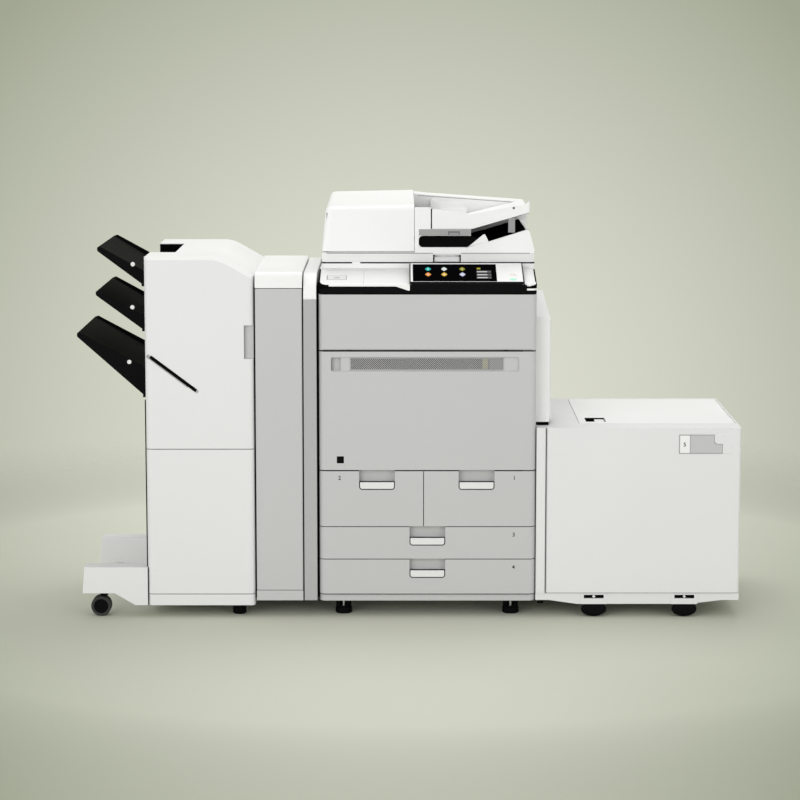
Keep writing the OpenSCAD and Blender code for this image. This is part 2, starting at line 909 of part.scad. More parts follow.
// Perforated grille: slanted slots in rows, cut through a flat plate
module vent_grille() color(cover_grey) {
    inner_h = grille_h - 2 * grille_ledge;
    row_h = (inner_h - (slot_rows + 1) * slot_gap) / slot_rows;
    lean = row_h * slot_lean_share;
    count = floor((grille_w - 2 * grille_ledge - 2 * slot_w) / grille_pitch);
    first = (grille_w - (count - 1) * grille_pitch - slot_w) / 2;
    along_y(front_y + grille_set, front_y + grille_set + grille_t)
        translate([grille_x, grille_z + grille_ledge]) difference() {
            square([grille_w, inner_h]);
            for (row = [0:slot_rows - 1], i = [0:count - 1]) {
                shift = row % 2 == 0 ? -grille_pitch / 4 : grille_pitch / 4;
                translate([first + i * grille_pitch + shift, slot_gap + row * (row_h + slot_gap)])
                    polygon([[-lean / 2, 0], [slot_w - lean / 2, 0], [slot_w + lean / 2, row_h],
                             [lean / 2, row_h]]);
            }
        }
}

// Drawer front with its recessed handle, hx being the handle's left edge
module drawer_front(n, hx) {
    b = front_box(n);
    difference() {
        intersection() {
            cover(b[2], b[3]);
            block([b[0], front_y, b[2]], [b[1], front_y + cover_t, b[3]]);
        }
        along_y(front_y - over, front_y + handle_depth) translate([hx, b[3] - handle_h])
            rounded(handle_w, handle_h + 2 * handle_r, handle_r);
    }
    // Lip to pull on, with rounded lower corners and a groove round it, proud of the recess floor
    along_y(front_y, front_y + lip_t) translate([hx + lip_gap, b[3] - handle_h + lip_gap]) intersection() {
        rounded(handle_w - 2 * lip_gap, handle_h, handle_r - lip_gap);
        square([handle_w, handle_lip_h - lip_gap]);
    }
    block([hx, front_y + lip_t - root, b[3] - handle_h],
          [hx + handle_w, front_y + handle_depth, b[3] - handle_h + 2 * lip_bevel]);
}

handle_1_x = 103;
handle_2_x = 118;
handle_34_x = ex0 + engine_w / 2 - handle_w / 2;

module drawer_1_front() color(cover_grey) drawer_front(1, front_box(1)[0] + handle_1_x);
module drawer_2_front() color(cover_grey) drawer_front(2, front_box(2)[0] + handle_2_x);
module drawer_3_front() color(cover_grey) drawer_front(3, handle_34_x);
module drawer_4_front() color(cover_grey) drawer_front(4, handle_34_x);

// Open tray behind a drawer front: walls, side guides and the lifting plate on its floor
module drawer_tray(n) color(steel) {
    b = bay_box(n);
    x0 = b[0] + rail_gap;
    x1 = b[1] - rail_gap;
    y0 = front_y + cover_t;
    y1 = y0 + drawer_d;
    z0 = b[2] + rail_h + seat;
    z1 = b[3] - tray_gap;
    difference() {
        block([x0, y0, z0], [x1, y1, z1]);
        block([x0 + tray_wall, y0 + tray_wall, z0 + tray_wall], [x1 - tray_wall, y1 - tray_wall, z1 + over]);
    }
    block([x0 + 2 * fence_w, y0 + fence_w, z0 + tray_wall],
          [x1 - 2 * fence_w, y1 - fence_w, z0 + tray_wall + lift_plate_t]);
    for (x = [x0 + fence_w, x1 - fence_w - fence_t])
        block([x, y0 + 2 * fence_w, z0 + tray_wall], [x + fence_t, y1 - 2 * fence_w, z1 - tray_gap]);
}

module drawer_1_tray() drawer_tray(1);
module drawer_2_tray() drawer_tray(2);
module drawer_3_tray() drawer_tray(3);
module drawer_4_tray() drawer_tray(4);

// Manual feed unit on the engine's right side, its top rising to the back
by_y = front_y + bypass_y;
module bypass_housing() color(light_grey) {
    difference() {
        along_x(ex1, ex1 + bypass_w) polygon([[by_y, bypass_z], [by_y, bypass_z1],
            [by_y + bypass_l, bypass_z1 + bypass_rise], [by_y + bypass_l, bypass_z]]);
        // Feed slot behind the folded tray
        block([ex1 + bypass_w / 3, by_y + bypass_in, bypass_z + bypass_in],
              [ex1 + bypass_w + over, by_y + bypass_in + bypass_sheet, bypass_z + bypass_h - bypass_in]);
    }
    // Ears that carry the tray's hinge pin
    for (y = [by_y + bypass_in - bypass_pivot, by_y + bypass_in + bypass_sheet + seat]) difference() {
        union() {
            rod_y(y, y + bypass_pivot - seat, ex1 + bypass_w + bypass_knuckle + seat, bypass_z + bypass_pivot,
                  bypass_knuckle);
            block([ex1 + bypass_w, y, bypass_z + bypass_pivot - bypass_knuckle],
                  [ex1 + bypass_w + bypass_knuckle + seat, y + bypass_pivot - seat,
                   bypass_z + bypass_pivot + bypass_knuckle]);
        }
        rod_y(y - over, y + bypass_pivot + over, ex1 + bypass_w + bypass_knuckle + seat,
              bypass_z + bypass_pivot, lug_pin_r + run);
    }
}

module bypass_tray() color(light_grey) {
    x = ex1 + bypass_w + seat;
    y0 = by_y + bypass_in;
    difference() {
        union() {
            block([x, y0, bypass_z + bypass_pivot], [x + bypass_t, y0 + bypass_sheet, bypass_z + bypass_h]);
            rod_y(y0, y0 + bypass_sheet, x + bypass_knuckle, bypass_z + bypass_pivot, bypass_knuckle);
        }
        // Finger notch in the top edge
        rod_x(x - over, x + bypass_t + over, y0 + bypass_sheet / 2, bypass_z + bypass_h, bypass_in / 2);
    }
    rod_y(y0 - bypass_pivot, y0 + bypass_sheet + bypass_pivot, x + bypass_knuckle, bypass_z + bypass_pivot,
          lug_pin_r);
}

// Control panel and what it carries, drawn flat and set on the console's slope
panel_x = ex1 - panel_x1 - panel_w;
module on_panel() {
    on_slope(panel_x) translate([0, panel_y, seat]) children();
}

// The panel's face leans a little more to the front than the console
module on_face() {
    on_panel() rotate([panel_wedge, 0, 0]) children();
}

module panel_sheet() {
    linear_extrude(panel_skin) rounded(panel_w, panel_d, panel_r);
}

module control_panel() color(black) difference() {
    hull() {
        on_panel() panel_sheet();
        on_face() translate([0, 0, panel_t - panel_skin]) panel_sheet();
    }
    on_face() translate([screen_x, screen_y, panel_t - screen_t])
        cube([screen_w, screen_d, screen_t + over]);
    for (y = [key_start_y, key_stop_y]) on_face()
        translate([panel_w - key_x, y, panel_t - key_h]) cylinder(h = key_h + over, r = key_r + seat);
}

module touch_screen() color([0.1, 0.11, 0.13]) on_face()
    translate([screen_x, screen_y, panel_t - screen_t]) cube([screen_w, screen_d, screen_t]);

module panel_key(y) {
    on_face() translate([panel_w - key_x, y, panel_t - key_h + key_travel + seat])
        cylinder(h = key_h - key_travel - seat + key_rise, r = key_r);
}

module start_key() color([0.2, 0.65, 0.35]) panel_key(key_start_y);
module stop_key() color([0.75, 0.35, 0.2]) panel_key(key_stop_y);

feeder_z = z_adf + feeder_seam;

// Ramp that the sheets leave on, with its flat part next to the feeder
module ramp_outline() {
    polygon([[adf_x, z_adf - root], [adf_x, z_adf + base_h], [adf_x + ramp_flat, z_adf + base_h],
             [adf_x + ramp_mid, z_adf + ramp_mid_h], [reader_x1 - ramp_end - ramp_edge, z_adf + ramp_h],
             [reader_x1 - ramp_end, z_adf + ramp_h - lip_front], [reader_x1, z_adf + ramp_edge],
             [reader_x1, z_adf - root]]);
}

// Fence behind the document tray, sloping down to the right
fence_y = reader_y1 - fence_d;
module fence_outline() {
    polygon([[adf_x, z_adf - root], [adf_x, z_adf + fence_h], [adf_x + fence_in, z_adf + fence_h - lip_front],
             [reader_x1 - ramp_edge, z_adf + fence_end_h], [reader_x1, z_adf + fence_end_h - ramp_edge],
             [reader_x1, z_adf - root]]);
}

module adf_lid() color(white) {
    difference() {
        translate([reader_x, reader_y, z_lid]) linear_extrude(lid_h)
            rounded(reader_w, reader_d, reader_corner);
        // Finger recess under the lid's front edge
        block([reader_x + grip_x, reader_y - over, z_lid - over],
              [reader_x + grip_x + grip_len, reader_y + grip_depth, z_lid + grip_drop]);
    }
    block([reader_x + base_in, reader_y + beam_d + seat, z_adf - root],
          [adf_x + root, reader_y1 - tray_side, z_adf + base_h]);
    along_y(reader_y, fence_y + root) ramp_outline();
    difference() {
        along_y(fence_y, reader_y1) fence_outline();
        rod_y(fence_y - over, fence_y + tray_pin_l + seat, dt_x + feeder_pivot, z_adf + tray_pivot_h,
              pin_r + run);
    }
    // Beam under the document tray's front edge and the cheek at its left
    along_y(reader_y, reader_y + beam_d) {
        translate([adf_x, z_adf + beam_z]) square([beam_w, beam_h]);
        translate([adf_x, z_adf]) square([cheek_in, cheek_h]);
        translate([adf_x, z_adf + beam_z]) square([cheek_w, cheek_h - beam_z]);
    }
    // Bearings of the feed roller shaft
    for (y = [reader_y + bearing_in, fence_y - bearing_in]) difference() {
        union() {
            rod_y(y, y + bearing_t, adf_x - feed_x, z_adf + feed_h, bearing_r);
            block([adf_x - feed_x - bearing_r, y, z_adf + base_h - root],
                  [adf_x - feed_x + bearing_r, y + bearing_t, z_adf + feed_h]);
        }
        rod_y(y - over, y + bearing_t + over, adf_x - feed_x, z_adf + feed_h, shaft_r + run);
    }
    // Rests under the feeder cover's rear wall
    for (x = [reader_x + bearing_in, adf_x - bearing_in])
        block([x, reader_y1 - feeder_wall, z_adf - root],
              [x + bearing_r, reader_y1 - feeder_wall / 2, feeder_z - seat]);
}

// Moulded outer form of the feeder cover: rounded left and top edges, the top rising to the back and right
module feeder_form() {
    x1 = adf_x - feeder_seam / 2;
    hull() {
        for (back = [0, 1]) {
            y = back == 0 ? reader_y + feeder_round : reader_y1 - feeder_round;
            z = feeder_h - feeder_round + back * feeder_crown;
            translate([reader_x + feeder_taper + feeder_round, y, z]) sphere(feeder_round, $fn = 32);
            translate([x1 - over, y, z + feeder_rise]) rotate([0, 90, 0])
                cylinder(h = over, r = feeder_round, $fn = 32);
            translate([reader_x + feeder_foot_r, back == 0 ? reader_y + feeder_foot_r
                       : reader_y1 - feeder_foot_r, 0]) cylinder(h = over, r = feeder_foot_r, $fn = 32);
        }
        translate([x1 - over, reader_y, 0]) cube([over, reader_d, over]);
    }
}

module feeder_cover() color(white) translate([0, 0, feeder_z]) difference() {
    feeder_form();
    block([reader_x + feeder_taper + feeder_wall, reader_y + feeder_wall, -over],
          [adf_x - feeder_wall - feeder_seam, reader_y1 - feeder_wall, feeder_h - feeder_round]);
    // Open right side where the sheets go in and come out
    block([adf_x - feeder_wall - 2 * feeder_seam, reader_y + beam_d, -over],
          [adf_x + over, fence_y, feeder_h - feeder_round - feeder_seam]);
    // Room for the base block beside the fence
    block([adf_x - feeder_wall - 2 * feeder_seam, fence_y - over, -over],
          [adf_x + over, reader_y1 - tray_side + feeder_seam, base_h]);
}

// Document tray: a sloped floor between a front side panel and the fence, pivoted at its upper left
tray_y = reader_y + seat;
tray_y1 = fence_y - 1;
dt_x = adf_x + tray_x;
dt_x1 = reader_x1 - tray_x1;
module tray_floor_outline() {
    polygon([[dt_x, z_adf + tray_bottom_h], [dt_x, z_adf + floor_h], [dt_x + tray_low_x, z_adf + floor_h],
             [dt_x1, z_adf + floor_end_h], [dt_x1, z_adf + tray_bottom_end],
             [dt_x + tray_flat_x, z_adf + tray_bottom_h]]);
}

module tray_side_outline() {
    union() {
        polygon([[dt_x, z_adf + tray_bottom_h], [dt_x, z_adf + tray_pivot_h],
                 [dt_x + feeder_pivot, z_adf + tray_pivot_h + feeder_pivot],
                 [dt_x + tray_low_x, z_adf + side_low_h], [dt_x1 - ramp_edge, z_adf + side_end_h - ramp_edge],
                 [dt_x1, z_adf + side_end_h], [dt_x1, z_adf + tray_bottom_end],
                 [dt_x + tray_flat_x, z_adf + tray_bottom_h]]);
        translate([dt_x + feeder_pivot, z_adf + tray_pivot_h]) circle(feeder_pivot);
    }
}

module document_tray() color(white) {
    along_y(tray_y, tray_y1) tray_floor_outline();
    along_y(tray_y, tray_y + tray_side) tray_side_outline();
    // Ear with the pivot pin in the fence
    along_y(tray_y1 - tray_side, tray_y1) union() {
        translate([dt_x, z_adf + tray_bottom_h])
            square([2 * feeder_pivot, tray_pivot_h - tray_bottom_h]);
        translate([dt_x + feeder_pivot, z_adf + tray_pivot_h]) circle(feeder_pivot);
    }
    rod_y(tray_y1, fence_y + tray_pin_l, dt_x + feeder_pivot, z_adf + tray_pivot_h, pin_r);
}

// Document guides: they run front to back on the tray's floor, which is flat where they stand
module guide(y, side) {
    z = z_adf + floor_h + seat;
    x = dt_x + guide_x / 2;
    block([x, min(y, y + side * guide_base), z], [x + guide_l, max(y, y + side * guide_base), z + guide_t]);
    along_y(min(y, y + side * guide_t), max(y, y + side * guide_t)) translate([x, z])
        intersection() {
            rounded(guide_l, guide_h + guide_base, guide_base / 2);
            square([guide_l, guide_h]);
        }
}

module document_guide_front() color(light_grey) guide(tray_y + guide_in + guide_base, -1);
module document_guide_rear() color(light_grey) guide(tray_y1 - guide_in - guide_base, 1);

module feed_rollers() color([0.25, 0.25, 0.27]) {
    y0 = reader_y + bearing_in;
    y1 = fence_y - bearing_in + bearing_t;
    rod_y(y0 - seat, y1 + seat, adf_x - feed_x, z_adf + feed_h, shaft_r);
    for (i = [1:3]) rod_y(y0 + (y1 - y0) * i / 4 - feed_w / 2, y0 + (y1 - y0) * i / 4 + feed_w / 2,
                          adf_x - feed_x, z_adf + feed_h, feed_r);
}

// Relay unit: a tall hollow column with guide plates behind its door, docked to both neighbours
relay_y = front_y + door_t + swing_gap;
module relay_top_outline() {
    union() {
        polygon([[front_y, 0], [front_y, relay_top_h - relay_round], [front_y + relay_round, relay_top_h],
                 [front_y + relay_d, relay_top_h], [front_y + relay_d, 0]]);
        translate([front_y + relay_round, relay_top_h - relay_round]) circle(relay_round);
    }
}

module dock_boss(x0, x1, z) {
    y = front_y + relay_d * dock_y_share;
    block([x0, y, z], [x1, y + dock_d, z + dock_h]);
}

module relay_pin(grow) {
    rod_z(relay_z0 + relay_base_h - door_pin_l - grow, relay_z - relay_top_h + door_pin_l + grow,
          rel_x + door_axis, front_y + door_axis, pin_r + (grow > 0 ? run : 0));
}

module relay_housing() color(white) {
    difference() {
        relay_shell();
        relay_pin(seat);
    }
}

module relay_shell() {
    z1 = relay_z - relay_top_h;
    difference() {
        union() {
            block([rel_x, relay_y, relay_z0], [rel_x1, front_y + relay_d, z1]);
            block([rel_x, front_y, relay_z0], [rel_x1, relay_y, relay_z0 + relay_base_h]);
        }
        block([rel_x + relay_wall, relay_y - over, relay_z0 + relay_base_h + seam],
              [rel_x1 - relay_wall, front_y + relay_d - relay_wall, z1 - relay_wall]);
    }
    along_x(rel_x, rel_x1) translate([0, z1]) relay_top_outline();
    for (i = [1:guide_plates])
        let (z = relay_z0 + (z1 - relay_z0) * i / (guide_plates + 1))
            block([rel_x + relay_wall, relay_y + relay_wall, z],
                  [rel_x1 - relay_wall, front_y + relay_d - relay_wall, z + plate_t]);
    // Door stop behind the free edge of the door
    block([rel_x1 - relay_wall - catch_h, front_y + door_t + seat, z1 - 2 * catch_h],
          [rel_x1 - relay_wall, relay_y + catch_h, z1 - catch_h]);
    for (z = [relay_z0 + relay_base_h, z1 - dock_h]) {
        dock_boss(fin_x1, rel_x, z - (z > split_z ? dock_h : 0));
        dock_boss(rel_x1, ada_x, z - (z > split_z ? dock_h : 0));
    }
}

module relay_door() color(cover_grey) {
    z0 = relay_z0 + relay_base_h + seam;
    z1 = relay_z - relay_top_h - seam;
    translate([rel_x, front_y, z0]) difference() {
        linear_extrude(z1 - z0) cover_plan(relay_w, door_t, lip_bevel);
        translate([relay_wall, door_t - door_pocket, relay_wall])
            cube([relay_w - 2 * relay_wall, door_pocket + over, z1 - z0 - 2 * relay_wall]);
    }
    relay_pin(0);
}

module adapter_duct() color(cover_grey) {
    difference() {
        union() {
            along_x(ada_x, ada_x1) union() {
                translate([front_y + adapter_r, relay_z0])
                    square([relay_d - adapter_r, adapter_z - relay_z0]);
                translate([front_y, relay_z0]) square([adapter_r, adapter_z - relay_z0 - adapter_r]);
                translate([front_y + adapter_r, adapter_z - adapter_r]) circle(adapter_r);
            }
            dock_boss(ada_x1, ex0, z_upper);
            dock_boss(ada_x1, ex0, z_d3);
        }
        // Seam between the white top and the front
        block([ada_x - over, front_y - over, adapter_z - adapter_r - seam],
              [ada_x1 + over, front_y + seam, adapter_z - adapter_r]);
        // Sheet passage
        block([ada_x - over, front_y + relay_d * passage_share, z_upper - dock_d],
              [ada_x1 + over, front_y + relay_d * dock_y_share - adapter_lip, z_upper - adapter_lip]);
    }
}

// Finisher silhouette seen from the front: flat top, then the slope down to the relay unit
module finisher_outline(z0, z1 = finisher_z) {
    d = finisher_z - z1;
    polygon([[fin_x, z0], [fin_x, finisher_z - d], [fin_x + top_flat_w, finisher_z - d],
             [fin_x1, finisher_z - top_fall - d], [fin_x1, z0]]);
}

fin_door_y = front_y + door_t + swing_gap;
module finisher_housing() color(light_grey) {
    difference() {
        union() {
            along_y(fin_door_y, front_y + finisher_d) finisher_outline(finisher_z0, finisher_z - top_t);
            translate([fin_x, front_y, finisher_z0]) linear_extrude(finisher_base_h)
                cover_plan(finisher_w, relay_d / 4, fin_r);
        }
        // Upper bay behind the door, and lower bay behind the fixed cover
        block([fin_x + fin_wall, fin_door_y - over, split_z + fin_wall],
              [fin_x1 - fin_wall, front_y + finisher_d - fin_wall, finisher_z - top_t - top_fall - fin_wall]);
        block([fin_x + fin_wall, fin_door_y - over, finisher_z0 + finisher_base_h + fin_wall],
              [fin_x1 - fin_wall, front_y + finisher_d - fin_wall, split_z - fin_wall]);
    }
    // Rails on the left wall that the output trays climb
    for (y = rail_ys)
        block([fin_x - rail_out, y, rail_z0], [fin_x, y + rail_bar_w, finisher_z - top_t]);
    // Door stop behind the free edge of the door
    block([fin_x1 - fin_wall - catch_w, front_y + door_t + seat, split_z + fin_wall + catch_h],
          [fin_x1 - fin_wall, fin_door_y + catch_h, split_z + fin_wall + 2 * catch_h]);
    // Feet at the relay unit's side
    for (y = [front_y + fin_foot_in, front_y + finisher_d - fin_foot_in])
        translate([fin_x1 - fin_foot_in, y, 0])
            cylinder(h = finisher_z0, r1 = fin_foot_tip, r2 = fin_foot_r);
}

rail_ys = [front_y + bypass_y + rail_in, front_y + bypass_y + tray_d - rail_in];

module finisher_top_cover() color(white) difference() {
    along_y(fin_door_y, front_y + finisher_d) difference() {
        finisher_outline(split_z);
        finisher_outline(split_z - over, finisher_z - top_t);
    }
    // Open corner over the tray exits
    block([fin_x - over, front_y + notch_y, finisher_z - notch_h],
          [fin_x + notch_w, front_y + notch_y + notch_d, finisher_z + over]);
}

module finisher_door() color(light_grey) {
    difference() {
        intersection() {
            translate([fin_x, front_y, split_z + seam / 2]) linear_extrude(finisher_z)
                cover_plan(finisher_w, door_t, fin_r);
            along_y(front_y, front_y + door_t) finisher_outline(split_z);
        }
        // Grip cut into the free edge
        block([fin_x1 - fin_grip_w, front_y - over, fin_grip_z],
              [fin_x1 + over, front_y + fin_grip_deep, fin_grip_z + fin_grip_h]);
        block([fin_x + door_rim, front_y + door_t - door_pocket, split_z + door_rim],
              [fin_x1 - door_rim - fin_grip_w, front_y + door_t + over, finisher_z - top_fall - door_rim]);
    }
    stripe();
    finisher_pin(0);
}

// Pin under the door, in the lower cover
module finisher_pin(grow) {
    rod_z(split_z - door_pin_l - grow, split_z + root, fin_x + door_axis, front_y + door_axis,
          pin_r + (grow > 0 ? run : 0));
}

// Slanted black trim, a little proud of the door
module stripe() {
    translate([fin_x + stripe_x, front_y - plate_rise, stripe_z]) rotate([0, stripe_a, 0])
        translate([0, 0, -stripe_w]) cube([stripe_l, stripe_t, stripe_w]);
}

module finisher_lower_cover() color(light_grey) difference() {
    translate([fin_x, front_y, finisher_z0 + finisher_base_h + seam])
        linear_extrude(split_z - seam / 2 - finisher_z0 - finisher_base_h - seam)
            cover_plan(finisher_w, door_t + swing_gap, fin_r);
    finisher_pin(seat);
}

// Output tray: a sloped floor between two side rims, rising to the left from the finisher; z is the
// rims' height at the finisher and drop their depth there
module output_tray(z, reach, drop) color(black) {
    y0 = front_y + bypass_y;
    x1 = fin_x - seat;
    rise = reach * tan(tray_slope);
    difference() {
        union() {
            along_y(y0, y0 + tray_d) polygon([
                [x1, z - tray_rim - tray_plate], [x1 - reach, z + rise - tray_tip],
                [x1 - reach, z + rise - tray_tip + tray_plate], [x1, z - tray_rim]]);
            for (y = [y0, y0 + tray_d - tray_plate]) along_y(y, y + tray_plate) hull() {
                translate([x1 - reach + tray_tip, z + rise - tray_tip]) circle(tray_tip);
                translate([x1 - root, z - drop]) square([root, drop]);
            }
            // Root that rides the rails
            block([x1 - rail_bar_w - seat, y0, z - drop], [x1, y0 + tray_d, z - tray_rim]);
        }
        for (y = rail_ys)
            block([fin_x - rail_out - seat, y - seat, z - drop - over],
                  [fin_x + over, y + rail_bar_w + seat, z + over]);
    }
}

module output_tray_1() output_tray(tray_1_z, tray_1_reach, tray_1_drop);
module output_tray_2() output_tray(tray_2_z, tray_1_reach + tray_plate, tray_1_drop);
module output_tray_3() output_tray(tray_3_z, tray_reach - seat, tray_3_drop);

// Legs that reach out under the trays, with a caster under each toe
module leg(y) {
    x = fin_x - leg_reach;
    along_y(y, y + leg_d) polygon([[x + leg_lean, leg_z], [x, leg_end_z], [x + leg_heel, leg_end_z],
        [fin_x - leg_toe, finisher_z0], [fin_x, finisher_z0], [fin_x, leg_z]]);
}

leg_ys = [front_y, front_y + leg_rear_y];
module finisher_outriggers() color(white) difference() {
    for (y = leg_ys) leg(y);
    for (y = leg_ys) rod_z(leg_end_z - over, leg_end_z + stem_h + seat, fin_x - leg_reach + caster_in,
                           y + leg_d / 2, stem_r + run);
}

// Caster: a stem in the leg, a plate and a web between the two wheels
module caster_fork(y) color(black) {
    x = fin_x - leg_reach + caster_in;
    difference() {
        union() {
            rod_z(leg_end_z - seat, leg_end_z + stem_h, x, y, stem_r);
            rod_z(2 * caster_r + 1, leg_end_z - seat, x, y, caster_plate);
            along_y(y - caster_web / 2, y + caster_web / 2) union() {
                translate([x + caster_trail, caster_r]) circle(caster_plate);
                polygon([[x - caster_plate / 2, 2 * caster_r + 1 + over],
                         [x + caster_trail - caster_plate / 2, caster_r],
                         [x + caster_trail + caster_plate / 2, caster_r],
                         [x + caster_plate / 2, 2 * caster_r + 1 + over]]);
            }
        }
        rod_y(y - caster_web, y + caster_web, x + caster_trail, caster_r, axle_r + run);
    }
}

module caster_wheels(y) color(black) {
    x = fin_x - leg_reach + caster_in + caster_trail;
    half = caster_web / 2 + caster_gap;
    rod_y(y - half - 1, y + half + 1, x, caster_r, axle_r);
    for (side = [-1, 1]) {
        y0 = side < 0 ? y - half - caster_tread : y + half;
        rod_y(y0, y0 + caster_tread, x, caster_r, caster_r);
    }
}

module caster_fork_front() caster_fork(leg_ys[0] + leg_d / 2);
module caster_fork_rear() caster_fork(leg_ys[1] + leg_d / 2);
module caster_wheels_front() caster_wheels(leg_ys[0] + leg_d / 2);
module caster_wheels_rear() caster_wheels(leg_ys[1] + leg_d / 2);

// Paper deck
deck_y = front_y + deck_cover_t;
deck_y1 = front_y + deck_d;
lid_x = deck_x + lid_inset;
lid_x1 = deck_x1 - lid_rim;
lid_y = front_y + lid_in_y;
lid_y1 = deck_y1 - lid_back;
wheel_xs = [deck_x + wheel_x, deck_x1 - wheel_x1];
wheel_ys = [front_y + wheel_y, deck_y1 - wheel_back - wheel_w];

module wheel_cuts(r) {
    for (x = wheel_xs, y = wheel_ys) rod_y(y - arch_gap, y + wheel_w + arch_gap, x, deck_wheel_r, r);
}

module deck_case() color(light_grey) {
    difference() {
        union() {
            block([deck_x, deck_y, deck_front_z], [deck_x1, deck_y1, deck_z]);
            // Docking strip at the left, flush with the front cover
            translate([deck_x, front_y, deck_front_z]) linear_extrude(deck_z - deck_front_z)
                cover_plan(strip_w, deck_r + deck_cover_t, lip_bevel);
            // Skirt with its lower middle
            along_y(front_y + lip_bevel, deck_y1) polygon([
                [deck_x, deck_skirt_z], [deck_x, deck_front_z], [deck_x1, deck_front_z],
                [deck_x1, deck_skirt_z], [deck_x1 - skirt_drop_x1 - skirt_slant, deck_skirt_z],
                [deck_x1 - skirt_drop_x, deck_skirt_z - skirt_drop],
                [deck_x + skirt_drop_x - wheel_w, deck_skirt_z - skirt_drop],
                [deck_x + strip_w + skirt_slant, deck_skirt_z]]);
            // Brackets in front of the wheels
            for (x = wheel_xs)
                block([x - bracket_w / 2, front_y + lip_bevel - bracket_rise, deck_skirt_z - skirt_drop],
                      [x + bracket_w / 2, front_y + lip_bevel + root, deck_front_z - seam]);
        }
        for (x = wheel_xs) block([x - deck_wheel_r * window_share, front_y, deck_skirt_z + lip_bevel],
                                 [x + deck_wheel_r * window_share, wheel_ys[0], deck_front_z - lip_bevel]);
        // Paper chamber
        block([lid_x + lid_ledge, lid_y, deck_front_z + deck_floor],
              [lid_x1 - lid_ledge, lid_y1 - lid_ledge, deck_z + over]);
        // Seat of the lid
        block([lid_x - lid_seam, lid_y - lid_seam, deck_z - lid_t - seat],
              [lid_x1 + lid_seam, lid_y1 + lid_seam, deck_z + over]);
        wheel_cuts(deck_wheel_r + arch_gap);
        // Axles run in the case
        for (x = wheel_xs) rod_y(wheel_ys[0], wheel_ys[1] + wheel_w, x, deck_wheel_r, axle_r + run);
    }
    // Docking bosses that meet the engine
    for (z = [z_d3, z_d12 + dock_h]) block([ex1 + seat, front_y + dock_d, z],
                                           [deck_x, front_y + 2 * dock_d, z + dock_h]);
    // Axle hangers between the wheels
    for (x = wheel_xs, y = [wheel_ys[0] + wheel_w + arch_gap, wheel_ys[1] - arch_gap - bearing_t])
        difference() {
        block([x - bearing_r, y, deck_wheel_r - bearing_r / 2], [x + bearing_r, y + bearing_t, deck_front_z]);
        rod_y(y - over, y + bearing_t + over, x, deck_wheel_r, axle_r + run);
    }
}

module deck_front_cover() color(light_grey) {
    x0 = deck_x + strip_w + seam / 2;
    translate([x0, front_y, deck_front_z + seam]) linear_extrude(deck_z - deck_front_z - seam)
        cover_plan(deck_x1 - x0, deck_cover_t, deck_r);
    // Size plate with its stepped corner
    along_y(front_y - plate_rise, front_y)
        translate([deck_x1 - plate_x1 - plate_w, deck_z - plate_drop - plate_h]) polygon([
                 [0, 0], [plate_w, 0], [plate_w, plate_h / 2], [plate_w - plate_notch, plate_h / 2],
                 [plate_w - plate_notch, plate_h], [0, plate_h]]);
}

module deck_lid() color(white) difference() {
    block([lid_x, lid_y, deck_z - lid_t], [lid_x1, lid_y1, deck_z]);
    block([lid_x + latch_x, lid_y + latch_y, deck_z - latch_deep],
          [lid_x + latch_x + latch_w, lid_y + latch_y + latch_d, deck_z + over]);
    rod_y(lid_y + latch_y - latch_pin_l - seat, lid_y + latch_y + latch_d + latch_pin_l + seat, latch_ax,
          latch_az, latch_pin_r + run);
}

// Latch with its round edge on the hinge axis, and the pins that the lid carries
latch_ax = lid_x + latch_x + latch_w - latch_gap - latch_t / 2;
latch_az = deck_z - latch_deep + seat + latch_t / 2;
module lid_latch() color(white) {
    y0 = lid_y + latch_y + latch_gap;
    y1 = lid_y + latch_y + latch_d - latch_gap;
    block([lid_x + latch_x + latch_w / 2, y0, latch_az - latch_t / 2],
          [latch_ax, y1, latch_az + latch_t / 2]);
    rod_y(y0, y1, latch_ax, latch_az, latch_t / 2);
    rod_y(y0 - latch_gap - latch_pin_l, y1 + latch_gap + latch_pin_l, latch_ax, latch_az, latch_pin_r);
}

module deck_lifter() color(steel) difference() {
    block([lid_x + lid_ledge + lifter_gap, lid_y + lifter_gap, lifter_z],
          [lid_x1 - lid_ledge - lifter_gap, lid_y1 - lid_ledge - lifter_gap, lifter_z + lifter_t]);
    block([lid_x + lid_ledge, lid_y + lid_in_y * 2, lifter_z - over],
          [lid_x + lid_in_y * 2, lid_y + lid_in_y * 3, lifter_z + lifter_t + over]);
}

module deck_wheels(x) color(black) {
    for (y = wheel_ys) rod_y(y, y + wheel_w, x, deck_wheel_r, deck_wheel_r);
    rod_y(wheel_ys[0], wheel_ys[1] + wheel_w, x, deck_wheel_r, axle_r);
}

module deck_wheels_left() deck_wheels(wheel_xs[0]);
module deck_wheels_right() deck_wheels(wheel_xs[1]);

engine_frame();
base_skirt();
side_covers();
rear_cover();
console();
console_band();
inner_cover();
toner_bottles();
drum_units();
transfer_belt();
fixing_unit();
engine_feet();
reader_body();
platen_glass();
scan_carriage();
upper_front_cover();
front_door();
vent_grille();
drawer_1_front();
drawer_2_front();
drawer_3_front();
drawer_4_front();
drawer_1_tray();
drawer_2_tray();
drawer_3_tray();
drawer_4_tray();
bypass_housing();
bypass_tray();
control_panel();
touch_screen();
start_key();
stop_key();
adf_lid();
feeder_cover();
document_tray();
document_guide_front();
document_guide_rear();
feed_rollers();
relay_housing();
relay_door();
adapter_duct();
finisher_housing();
finisher_top_cover();
finisher_door();
finisher_lower_cover();
output_tray_1();
output_tray_2();
output_tray_3();
finisher_outriggers();
caster_fork_front();
caster_fork_rear();
caster_wheels_front();
caster_wheels_rear();
deck_case();
deck_front_cover();
deck_lid();
lid_latch();
deck_lifter();
deck_wheels_left();
deck_wheels_right();
